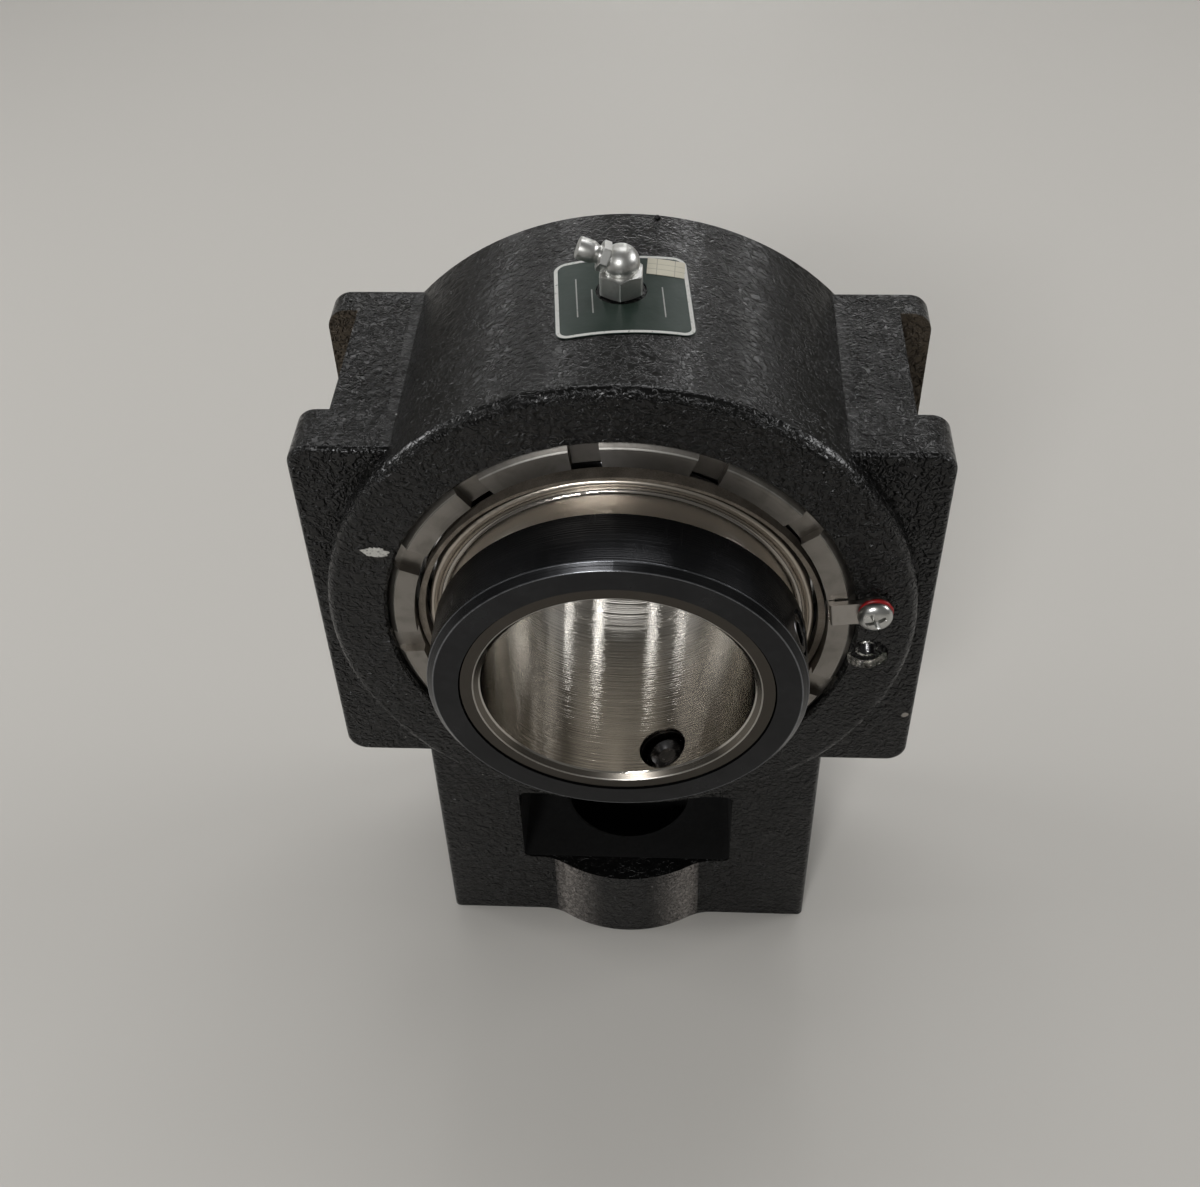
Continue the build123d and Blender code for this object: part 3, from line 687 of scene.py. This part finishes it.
def linked(name: str, data: bpy.types.ID) -> bpy.types.Object:
    """Make an object and link it to the scene.

    Args:
        name: The object's name.
        data: Its mesh, lamp or camera.

    Returns:
        The object.
    """
    made = bpy.data.objects.new(name, data)
    bpy.context.scene.collection.objects.link(made)
    return made


def standing(place: Vector, right: Vector, above: Vector, back: Vector) -> Matrix:
    """Return the matrix of a lamp or camera from its place, in metres, and its three axes."""
    return Matrix.Translation(place) @ Matrix((right, above, back)).transposed().to_4x4()


@dataclass(frozen=True)
class Frame:
    """An axis that rings of points are laid out on, and the direction that their angles start from."""

    origin: Vector
    along: Vector
    across: Vector

    def point(self, along: float, radius: float, angle: float) -> Vector:
        """Return a point in metres, by its place along the axis, radius and angle in radians."""
        out = self.across * cos(angle) + self.along.cross(self.across) * sin(angle)
        return (self.origin + self.along * along + out * radius) * MM


def shaft_outward(angle: float) -> Vector:
    """Return the direction away from the shaft at an angle in degrees from +X towards up."""
    turn = radians(angle)
    return Vector((cos(turn), -sin(turn) * sin(DROOP), sin(turn) * cos(DROOP)))


SHAFT = Vector((0.0, cos(DROOP), sin(DROOP)))
TO_FRONT, TO_BACK = Vector((0, -1, 0)), Vector((0, 1, 0))
TO_RIGHT, UP = Vector((1, 0, 0)), Vector((0, 0, 1))
Ring = Pair | Callable[[float], Pair]


@dataclass
class Loft:
    """A mesh made of rings of points, skinned from each to the next, with so many steps round a ring."""

    name: str
    frame: Frame
    steps: int = 96
    points: list[Vector] = field(default_factory=list)
    faces: list[tuple[int, ...]] = field(default_factory=list)

    def skin(self, rules: Sequence[Ring], closed: bool = True) -> None:
        """Add one shell.

        Args:
            rules: For each ring, its axial place and radius, or a function from the angle to them.
            closed: Whether the first and last rings are closed over.
        """
        start = len(self.points)
        for rule in rules:
            for step in range(self.steps):
                angle = 2 * pi * step / self.steps
                along, radius = rule(angle) if callable(rule) else rule
                self.points.append(self.frame.point(along, radius, angle))
        self.join(start, len(rules), closed)

    def join(self, start: int, rings: int, closed: bool = True) -> None:
        """Join rings of points that are there already, each to the next.

        Args:
            start: The first ring's first point.
            rings: How many rings there are.
            closed: Whether the first and last rings are closed over.
        """
        for ring in range(rings - 1):
            low, high = start + ring * self.steps, start + (ring + 1) * self.steps
            for step in range(self.steps):
                after = (step + 1) % self.steps
                self.faces.append((low + step, low + after, high + after, high + step))
        if closed:
            last = start + (rings - 1) * self.steps
            self.faces.append(tuple(reversed(range(start, start + self.steps))))
            self.faces.append(tuple(range(last, last + self.steps)))

    def settle(self, body: Body, slot: str, material: Material, *replaces: str,
               crease: float = 32.0) -> bpy.types.Object:
        """Make the mesh object, dress it and join it to its body.

        Args:
            body: What it rides on.
            slot: Not used.
            material: Its material.
            replaces: The carried-over nodes that it stands for.
            crease: Edges sharper than this many degrees stay sharp.

        Returns:
            The object.
        """
        mesh = bpy.data.meshes.new(self.name)
        mesh.from_pydata([tuple(point) for point in self.points], [], self.faces)
        mesh.validate()
        mesh.shade_smooth()
        mesh.set_sharp_from_angle(angle=radians(crease))
        mesh.materials.append(material)
        piece = linked(self.name, mesh)
        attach(piece, body.value)
        if replaces:
            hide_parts(*replaces)
        LOG.info("built %s on %s, %d faces", piece.name, body.value, len(mesh.polygons))
        return piece


@dataclass(frozen=True)
class Thread:
    """A screw thread round an axis."""

    root: float
    crest: float
    pitch: float
    steepness: float = 2.6

    def radius(self, angle: float, along: float) -> float:
        """Return the radius at an angle, in radians, and a place along the axis."""
        phase = (along / self.pitch - angle / (2 * pi)) % 1.0
        return self.root + (self.crest - self.root) * min(1.0, self.steepness * min(phase, 1.0 - phase))

    def ring(self, along: float) -> Ring:
        """Return the ring at a place along the axis."""
        return lambda angle: (along, self.radius(angle, along))

    def rings(self, start: float, end: float, count: int) -> list[Ring]:
        """Return rings at even steps from one place along the axis to another."""
        return [self.ring(start + (end - start) * step / count) for step in range(count + 1)]


def hexagon_radius(angle: float, flats: float, turn: float = 0.0) -> float:
    """Return how far a turned hexagon reaches at an angle in radians, its corners just rounded."""
    spot = (angle - turn) % (pi / 3) - pi / 6
    return min(flats / 2 / cos(spot), flats / 2 * HEXAGON_CORNER)


def hexagon_rules(flats: float, low: float, high: float, inner: float, turn: float = 0.0) -> list[Ring]:
    """Lay out the rings of a hexagonal nut with chamfered corners.

    Args:
        flats: The width across its flats.
        low: Where it starts along its axis.
        high: Where it ends.
        inner: The radius at which its ends start.
        turn: How far it is turned, in radians.

    Returns:
        The rings, from the low end to the high one.
    """
    slope = tan(radians(30))
    land = flats / 2 * HEXAGON_LAND

    def reach(angle: float) -> float:
        """Return the hexagon's reach at an angle."""
        return hexagon_radius(angle, flats, turn)

    def drop(angle: float) -> float:
        """Return how far the chamfer takes the corner down at an angle."""
        return max(0.0, reach(angle) - land) * slope

    return [(low, inner), (low, land), lambda a: (low + 0.5 * drop(a), reach(a)),
            lambda a: (high - drop(a), reach(a)), (high, land), (high, inner)]


# Sub-assemblies


@dataclass
class GreaseFitting:
    """The plated fitting on top: hexagon, ball head and the nipple that leans to the left."""

    plating: Material
    spring_finish: Material
    centre: Triple = (0.0, 1.5, 90.5)
    foot: float = 82.42
    hexagon: float = 11.1
    hexagon_height: float = 6.0
    shank_length: float = 9.0
    shank_radius: float = 4.75
    ball_radius: float = 4.9
    ball_arc: Pair = (-58.0, 90.0)
    ball_rings: int = 32
    lean: float = 22.0
    nipple_hexagon: float = 7.2
    nipple_hexagon_span: Pair = (2.7, 5.9)
    bore: float = 1.4
    inlet: float = 0.8
    length: float = 11.9
    neck: float = 2.3
    shoulder: float = 2.95
    tip: float = 2.6
    spring_span: Pair = (0.75, 8.895)
    spring_turns: float = 4.0
    rings_per_turn: int = 24
    coil: float = 0.875
    wire: float = 0.35
    ball_travel: float = 0.8

    @property
    def nipple_frame(self) -> Frame:
        """The nipple's place: its axis leans, and starts at the centre of the ball head."""
        lean = radians(self.lean)
        return Frame(Vector(self.centre), Vector((-cos(lean), 0.0, sin(lean))), TO_BACK)

    def build_body(self) -> None:
        """Build the hexagon, the ball head and the shank."""
        x, y, z = self.centre
        piece = Loft("fitting_body", Frame(Vector((x, y, 0.0)), UP, TO_RIGHT), 120)
        top = self.foot + self.hexagon_height
        piece.skin(hexagon_rules(self.hexagon, self.foot, top, 2.0, radians(30)))
        end, shank = self.foot - self.shank_length, self.shank_radius
        piece.skin([(end, 1.5), (end, shank - 0.55), (end + 0.6, shank), (self.foot + 0.2, shank),
                    (self.foot + 0.2, 1.5)])
        ball: list[Pair] = []
        for step in range(self.ball_rings + 1):
            low, high = self.ball_arc
            turn = radians(low + (high - low) * step / self.ball_rings)
            ball.append((z + self.ball_radius * sin(turn), self.ball_radius * cos(turn)))
        collar = (top - 0.02, ball[0][1] + 0.5)
        piece.skin([(top - 0.5, collar[1]), collar, *ball])
        piece.settle(Body.HOUSING, "zinc_fitting", self.plating, "grease_fitting")

    def build_nipple(self) -> None:
        """Build the small hexagon and the nipple with its coned neck and open inlet."""
        piece = Loft("nipple_body", self.nipple_frame)
        low, high = self.nipple_hexagon_span
        piece.skin(hexagon_rules(self.nipple_hexagon, low + 1.0, high, 1.6))
        piece.skin([(low - 0.6, 1.5), (low - 0.6, 3.3), (low + 1.2, 3.45), (low + 1.3, 1.5)])
        end, neck, shoulder, tip = self.length, self.neck, self.shoulder, self.tip
        piece.skin([(high - 0.2, neck + 0.3), (high + 0.25, neck + 0.05), (high + 0.6, neck),
                    (high + 1.3, neck + 0.3), (high + 1.9, shoulder - 0.08), (high + 2.2, shoulder),
                    (end - 0.4, shoulder), (end - 0.12, shoulder - 0.12), (end, tip),
                    (end, self.inlet + 0.12), (end - 0.15, self.inlet), (end - 0.7, self.inlet),
                    (end - 0.7, self.bore), (high - 0.2, self.bore)], closed=False)
        piece.settle(Body.HOUSING, "zinc_fitting", self.plating, "grease_nipple")

    def build_spring(self) -> None:
        """Build the spring behind the check ball."""
        frame = self.nipple_frame
        piece = Loft("check_spring", frame, 10)
        low, high = self.spring_span
        rings = int(self.spring_turns * self.rings_per_turn)
        for ring in range(rings + 1):
            turn = 2 * pi * self.spring_turns * ring / rings
            middle = low + (high - low) * ring / rings
            for step in range(piece.steps):
                spot = 2 * pi * step / piece.steps
                piece.points.append(frame.point(middle + self.wire / 2 * sin(spot),
                                                self.coil + self.wire / 2 * cos(spot), turn))
        piece.join(0, rings + 1)
        spring = piece.settle(Body.HOUSING, "spring_steel", self.spring_finish, "nipple_spring")
        tuple(frame.along)
        tuple(frame.point(low, 0, 0))
        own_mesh(spring)

    def build(self) -> None:
        """Build the whole fitting."""
        self.build_spring()
        self.build_body()
        self.build_nipple()


@dataclass
class LockParts:
    """The screw that holds the lock plate, its wax, and the thread of the spare hole beside it."""

    plating: Material
    wax_finish: Material
    steel: Material
    radius: float = 70.0
    turn: float = 7.5
    plate_top: float = -43.0
    wax: float = 0.9
    wax_reach: float = 4.55
    wax_bulge: float = 0.85
    wax_ragged: float = 0.18
    wax_side: float = 70.0
    head_radius: float = 4.8
    head_height: float = 2.9
    head_rim: float = 0.7
    crown_rings: int = 56
    shank_radius: float = 2.4
    shank_length: float = 12.0
    recess_length: float = 2.9
    recess_width: float = 0.62
    recess_depth: float = 1.7
    recess_turn: float = 25.0
    recess_wall: float = 0.16
    recess_taper: float = 2.6
    spare_mouth: float = -39.2
    spare_depth: float = 11.0
    spare_thread: Thread = Thread(2.43, 2.08, 0.8)
    rings_per_turn: int = 7

    def centre(self, turn: float, y: float) -> Vector:
        """Return the place on the lock circle at an angle in degrees."""
        angle = radians(turn)
        return Vector((self.radius * cos(angle), y, self.radius * sin(angle)))

    def recess(self, angle: float, radius: float) -> float:
        """Work out how deep the crossed recess is.

        Args:
            angle: The direction from the screw's axis, in radians.
            radius: The distance from it.

        Returns:
            The depth below the head's dome.
        """
        spot = angle - radians(self.recess_turn)
        depth = 0.0
        for turn in (0.0, pi / 2):
            beside = abs(radius * sin(spot - turn))
            wall = min(1.0, max(0.0, (self.recess_width - beside) / self.recess_wall))
            taper = max(0.0, 1.0 - radius / self.recess_length)
            depth = max(depth, wall * self.recess_depth * min(1.0, self.recess_taper * taper))
        return depth

    def head_ring(self, share: float) -> Ring:
        """Work out one ring of the screw's dome, sunk where the recess is.

        Args:
            share: How far out it lies, from 0 in the middle to 1 at the rim.

        Returns:
            The ring.
        """
        radius = max(0.02, self.head_radius * share)
        dome = self.head_rim + (self.head_height - self.head_rim) * (1.0 - share ** 2.6) ** 0.62
        return lambda angle: (dome - self.recess(angle, radius), radius)

    def build_screw(self) -> None:
        """Build the domed screw with its crossed recess."""
        seat = self.plate_top - self.wax
        frame = Frame(self.centre(self.turn, seat), TO_FRONT, TO_RIGHT)
        piece = Loft("lock_screw_detail", frame, 160)
        crown = [self.head_ring(1.0 - step / self.crown_rings) for step in range(self.crown_rings + 1)]
        piece.skin([(-self.shank_length, self.shank_radius - 0.4),
                    (-self.shank_length + 0.5, self.shank_radius), (0.0, self.shank_radius),
                    (0.0, self.head_radius - 0.15), (0.15, self.head_radius), *crown])
        piece.settle(Body.HOUSING, "zinc_screw", self.plating, "lock_screw", crease=24.0)

    def spread(self, angle: float) -> float:
        """Work out how far the wax is squeezed out: most at the upper side.

        Args:
            angle: The direction from the screw's axis, in radians.

        Returns:
            The reach.
        """
        upper = max(0.0, cos(angle - radians(self.wax_side)))
        ragged = noise.noise(Vector((3 * cos(angle), 3 * sin(angle), 0.0)))
        return self.wax_reach + self.wax_bulge * upper ** 0.7 + self.wax_ragged * ragged

    def build_wax(self) -> None:
        """Build the uneven bead of wax round the screw's head."""
        frame = Frame(self.centre(self.turn, self.plate_top), TO_FRONT, TO_RIGHT)
        piece = Loft("wax_bead", frame)
        top, inner, spread = self.wax, self.shank_radius + 0.2, self.spread
        piece.skin([(0.0, inner), lambda a: (0.0, spread(a) - 0.12), lambda a: (0.25, spread(a)),
                    lambda a: (0.62, spread(a) - 0.02), lambda a: (top - 0.05, spread(a) - 0.2),
                    lambda a: (top, spread(a) - 0.5), (top, inner), (0.0, inner)], closed=False)
        piece.settle(Body.HOUSING, "red_wax", self.wax_finish, "sealing_wax", crease=60.0)

    def build_spare_thread(self) -> None:
        """Build the thread inside the spare tapped hole."""
        frame = Frame(self.centre(-self.turn, self.spare_mouth), TO_BACK, TO_RIGHT)
        piece = Loft("spare_hole_thread", frame, 48)
        thread = self.spare_thread
        count = int(self.spare_depth / thread.pitch * self.rings_per_turn)
        rules = [(0.05, thread.root), *thread.rings(0.3, self.spare_depth, count)]
        piece.skin(rules[::-1], closed=False)
        piece.settle(Body.HOUSING, "bearing_steel", self.steel, crease=20.0)

    def build(self) -> None:
        """Build the screw, the wax and the spare thread."""
        self.build_screw()
        self.build_wax()
        self.build_spare_thread()


@dataclass
class SetScrews:
    """The two collar screws, with threads, hexagon sockets and cup points."""

    steel: Material
    angles: Pair = (-70.7, 19.3)
    axial: float = -55.0
    outer: float = 51.2
    length: float = 11.5
    thread: Thread = Thread(5.75, 6.35, 1.95)
    thread_rings: int = 60
    socket: float = 6.35
    socket_depth: float = 5.5
    cup_radius: float = 4.5
    cup_floor: float = 2.6
    cup_depth: float = 1.4

    def frame(self, angle: float) -> Frame:
        """Return the place of the screw at an angle in degrees, with its axis towards the shaft."""
        outward = shaft_outward(angle)
        return Frame(SHAFT * self.axial + outward * self.outer, -outward, SHAFT)

    def hexagon(self, angle: float) -> float:
        """Return the socket's reach at an angle in radians."""
        return hexagon_radius(angle, self.socket)

    def rules(self) -> list[Ring]:
        """Lay out the rings of one screw.

        Returns:
            The rings, from the socket's floor, over the thread, to the middle of the cup.
        """
        deep, tip, root, hexagon = self.socket_depth, self.length, self.thread.root, self.hexagon
        return [(deep + 0.9, 0.05), lambda a: (deep, hexagon(a)), lambda a: (0.3, hexagon(a)),
                lambda a: (0.0, hexagon(a) + 0.3), (0.0, root - 0.5), (0.35, root - 0.1),
                *self.thread.rings(0.6, tip - 1.3, self.thread_rings), (tip - 1.0, root - 0.2),
                (tip, self.cup_radius), (tip - 0.1, self.cup_radius - 0.2),
                (tip - self.cup_depth, self.cup_floor), (tip - self.cup_depth, 0.05)]

    def build(self) -> None:
        """Build both screws in one mesh."""
        piece = Loft("set_screw_pair", self.frame(self.angles[0]), 72)
        for angle in self.angles:
            piece.frame = self.frame(angle)
            piece.skin(self.rules()[::-1])
        piece.settle(Body.INNER, "set_screw_steel", self.steel, "set_screws", crease=28.0)


@dataclass(frozen=True)
class Patch:
    """A thin ragged patch: its name, middle, half width and height, turn in degrees and edge's seed."""

    name: str
    centre: Triple
    size: Pair
    turn: float
    seed: float
    ragged: float = 0.32

    def reach(self, angle: float) -> float:
        """Work out how far it reaches from its middle.

        Args:
            angle: The direction, in radians.

        Returns:
            The reach.
        """
        spot = angle - radians(self.turn)
        wander = noise.noise(Vector((4 * cos(spot), 4 * sin(spot), self.seed)))
        return (1.0 + self.ragged * wander) / hypot(cos(spot) / self.size[0], sin(spot) / self.size[1])


@dataclass
class CastingMarks:
    """Small things that stand on the casting: a paint dab, a chip and a nub left by the mould."""

    paint: Material
    bare: Material
    cast: Material
    dab: Patch = Patch("paint_dab", (-65.3, -41.4, 27.4), (3.7, 1.7), -4.0, 2.0)
    chip: Patch = Patch("flange_chip", (84.6, -33.7, -43.6), (1.2, 0.9), 30.0, 5.0)
    nub: Triple = (8.5, 38.6, 80.9)
    nub_radius: float = 0.9

    def build_patch(self, patch: Patch, material: Material) -> None:
        """Build a patch, which faces the front.

        Args:
            patch: Its outline.
            material: Its finish.
        """
        piece = Loft(patch.name, Frame(Vector(patch.centre), TO_FRONT, TO_RIGHT), 72)
        reach = patch.reach
        piece.skin([lambda a: (-0.05, reach(a)), lambda a: (0.03, reach(a)),
                    lambda a: (0.09, 0.93 * reach(a)), lambda a: (0.11, 0.5 * reach(a)), (0.11, 0.02)])
        piece.settle(Body.HOUSING, "housing_paint", material, crease=50.0)

    def build_nub(self) -> None:
        """Build the nub, which is a dome on a short flared foot."""
        radius = self.nub_radius
        nub = Loft("mould_nub", Frame(Vector(self.nub), Vector((0.1, 0, 1)).normalized(), TO_BACK), 24)
        turns = [radians(9 * step) for step in range(11)]
        nub.skin([(-0.6, radius + 0.5), (0.2, radius + 0.15),
                  *((radius * sin(turn) + 0.6, radius * cos(turn) + 0.02) for turn in turns)])
        nub.settle(Body.HOUSING, "housing_paint", self.cast, crease=60.0)

    def build(self) -> None:
        """Build the marks."""
        self.build_patch(self.dab, self.paint)
        self.build_patch(self.chip, self.bare)
        self.build_nub()


class Finishes:
    """Every material of the part, made once, and given to the carried-over nodes."""

    def __init__(self) -> None:
        """Make the materials."""
        self.cast = CastPaint().build()
        self.nut = NutSteel().build()
        self.collar = CollarSteel().build()
        self.ring = TurnedSteel("ring_steel", (0.065, 0.058, 0.050), 0.24, ring_size=0.3, stain_share=0.05,
                                bands=(Band(36.0, 37.7, (0.52, 0.495, 0.455), 0.08, 0.06),
                                       Band(37.7, 38.9, (0.16, 0.145, 0.125), 0.26, 0.004),
                                       Band(38.9, 39.3, (0.42, 0.40, 0.37), 0.30, 0.004))).build()
        self.hub = TurnedSteel("hub_steel", (0.86, 0.81, 0.745), 0.30, ring_relief=0.11,
                               stain_share=0.05).build()
        self.shield = TurnedSteel("shield_steel", (0.40, 0.37, 0.335), 0.20, ring_size=1.0,
                                  ring_relief=0.012, stain_share=0.1,
                                  bands=(Band(51.7, 54.5, (0.50, 0.45, 0.39), 0.30, 0.02),)).build()
        self.race = TurnedSteel("race_steel", (0.56, 0.56, 0.56), 0.12).build()
        self.cage = TurnedSteel("cage_steel", (0.36, 0.36, 0.37), 0.35).build()
        self.guide = TurnedSteel("guide_iron", (0.18, 0.18, 0.18), 0.4, metal=0.8).build()
        self.plate = PlatedZinc("lock_plate_steel", (0.38, 0.355, 0.33), rough=0.34).build()
        self.zinc = PlatedZinc("zinc_fitting", (0.64, 0.64, 0.62), rough=0.36).build()
        self.screw = PlatedZinc("zinc_screw", (0.58, 0.58, 0.56), rough=0.28).build()
        self.wire = PlatedZinc("spring_wire", (0.5, 0.5, 0.5)).build()
        self.black_screw = PlatedZinc("black_screw", (0.12, 0.118, 0.12), (0.22, 0.21, 0.20), 0.22).build()
        self.felt = Felt().build()
        self.wax = Wax().build()
        self.label = LabelFoil().build()
        self.paper = Paper().build()
        self.white = WhitePaint().build()

    def for_node(self, node: str) -> Material:
        """Return the material of a carried-over node, by how its name starts."""
        starts = {"housing": self.cast, "retaining_nut": self.nut, "set_collar": self.collar,
                  "inner_ring": self.ring, "outer_ring": self.race, "guide_ring": self.guide,
                  "lock_plate": self.plate, "lock_screw": self.screw, "sealing_wax": self.wax,
                  "set_screws": self.black_screw, "grease": self.zinc, "check_ball": self.race,
                  "nipple_spring": self.wire, "nameplate": self.label, "sticker": self.paper,
                  "roller": self.race, "cage": self.cage, "flinger": self.hub,
                  "seal_shield": self.shield, "wiper_ring": self.felt}
        return next(material for start, material in starts.items() if node.startswith(start))

    def dress(self, nodes: Mapping[str, bpy.types.Object]) -> None:
        """Give every carried-over node its material.

        Args:
            nodes: The frame's objects by name.
        """
        for name, piece in nodes.items():
            material = self.for_node(name)
            if not piece.data.materials:
                piece.data.materials.append(material)
            for slot in piece.material_slots:
                slot.material = material
            LOG.info("dressed %s with %s", name, material.name)


@dataclass
class Studio:
    """A pale floor and backdrop, soft lamps, the world, and the camera at the photograph's angle.

    The floor's span, half width, bend and top are in metres, and the camera's three turns in radians.
    """

    floor: float = -152.0
    floor_span: Pair = (-4.0, 1.6)
    floor_half_width: float = 5.0
    bend: float = 1.2
    backdrop_top: float = 4.0
    floor_colour: Colour = (0.60, 0.58, 0.545)
    cloud_colour: Colour = (0.53, 0.51, 0.475)
    # the near-black patch of painted shade on the floor under the part
    painted_shade_colour: Colour = (0.012, 0.012, 0.012)
    painted_shade_half_width: float = 50.0
    painted_shade_span: Pair = (-24.0, 34.0)
    camera_place: Triple = (15.9015, -327.7757, 296.7487)
    yaw: float = -0.0738
    pitch: float = 0.7790
    roll: float = 0.0359
    focal_pixels: float = 1478.395
    image_width: float = 1200.0
    sensor: float = 36.0
    sky: tuple[tuple[float, Colour], ...] = (
        (0.0, (0.30, 0.30, 0.29)), (0.35, (0.48, 0.475, 0.455)), (1.0, (0.22, 0.22, 0.215)))
    sky_strength: float = 0.34

    def build_camera(self) -> None:
        """Place the camera and make it the scene's own."""
        forward = Vector((sin(self.yaw) * cos(self.pitch),
                          cos(self.yaw) * cos(self.pitch), -sin(self.pitch)))
        level = Vector((cos(self.yaw), -sin(self.yaw), 0.0))
        below = forward.cross(level)
        right = level * cos(self.roll) + below * sin(self.roll)
        down = below * cos(self.roll) - level * sin(self.roll)
        data = bpy.data.cameras.new("camera")
        data.sensor_width = self.sensor
        data.sensor_fit = "HORIZONTAL"
        data.lens = self.focal_pixels / self.image_width * self.sensor
        data.clip_start = 0.01
        camera = linked("camera", data)
        camera.matrix_world = standing(Vector(self.camera_place) * MM, right, -down, -forward)
        bpy.context.scene.camera = camera
        LOG.info("camera of %.2f mm", data.lens)

    def build_floor(self) -> None:
        """Build the floor, which curves up into a backdrop far behind the part, with a patch of painted
        shade under the part.
        """
        near, far = self.floor_span
        turns = [radians(degrees) for degrees in range(6, 91, 6)]
        rows = [(near, 0.0), (far, 0.0)]
        rows += [(far + self.bend * sin(turn), self.bend * (1 - cos(turn))) for turn in turns]
        rows += [(far + self.bend, self.backdrop_top)]
        sides = (-self.floor_half_width, self.floor_half_width)
        points = [(x, y, z + self.floor * MM) for y, z in rows for x in sides]
        faces = [(2 * i, 2 * i + 1, 2 * i + 3, 2 * i + 2) for i in range(len(rows) - 1)]
        mesh = bpy.data.meshes.new("floor")
        mesh.from_pydata(points, [], faces)
        mesh.shade_smooth()
        floor = linked("floor", mesh)
        graph = Graph("floor_grey")
        cloud = graph.grain(900.0)
        x, y, _ = graph.split(graph.place)
        # Painted shade: the floor is coloured near black under the part, standing in for the shade there.
        under = (abs(x) < self.painted_shade_half_width) * y.between(*self.painted_shade_span)
        colour = graph.blend(cloud * 0.25, self.floor_colour, self.cloud_colour)
        colour = graph.blend(under, colour, self.painted_shade_colour)
        floor.data.materials.append(graph.finish(colour, 0.55))

    def build_lamps(self) -> None:
        """Build the soft lamps, each aimed at the part, with its second size along the shaft."""
        for lamp in Lamp:
            place, size, power = lamp.value
            data = bpy.data.lights.new(lamp.name.lower(), "AREA")
            data.shape = "RECTANGLE"
            data.size, data.size_y = size
            data.energy = power
            away = Vector(place).normalized()
            side = TO_BACK.cross(away).normalized()
            linked(data.name, data).matrix_world = standing(Vector(place), side, away.cross(side), away)

    def build_world(self) -> None:
        """Build a world that is pale at the horizon and dim overhead, as a workshop is."""
        world = bpy.data.worlds.new("workshop")
        bpy.context.scene.world = world
        world.use_nodes = True
        nodes = Nodes(world.node_tree)
        place = nodes.node("ShaderNodeTexCoord").outputs["Generated"]
        height = nodes.value("ShaderNodeSeparateXYZ", None, {0: place}, 2)
        sky = nodes.node("ShaderNodeValToRGB", {"stops": self.sky}, {0: height}).outputs[0]
        glow = nodes.node("ShaderNodeBackground", None, {"Color": sky, "Strength": self.sky_strength})
        nodes.node("ShaderNodeOutputWorld", None, {"Surface": glow.outputs[0]})

    def build(self) -> None:
        """Build everything that isn't the part."""
        self.build_camera()
        self.build_floor()
        self.build_lamps()
        self.build_world()
        bpy.context.scene.view_settings.view_transform = "Standard"


def main() -> None:
    """Load the frame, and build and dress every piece."""
    logging.basicConfig(level=logging.INFO, format="%(message)s")
    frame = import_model()
    Studio().build()
    finishes = Finishes()
    finishes.dress(frame["nodes"])
    GreaseFitting(finishes.zinc, finishes.wire).build()
    LockParts(finishes.screw, finishes.wax, finishes.black_screw).build()
    SetScrews(finishes.black_screw).build()
    CastingMarks(finishes.white, finishes.plate, finishes.cast).build()


if __name__ == "__main__":
    main()
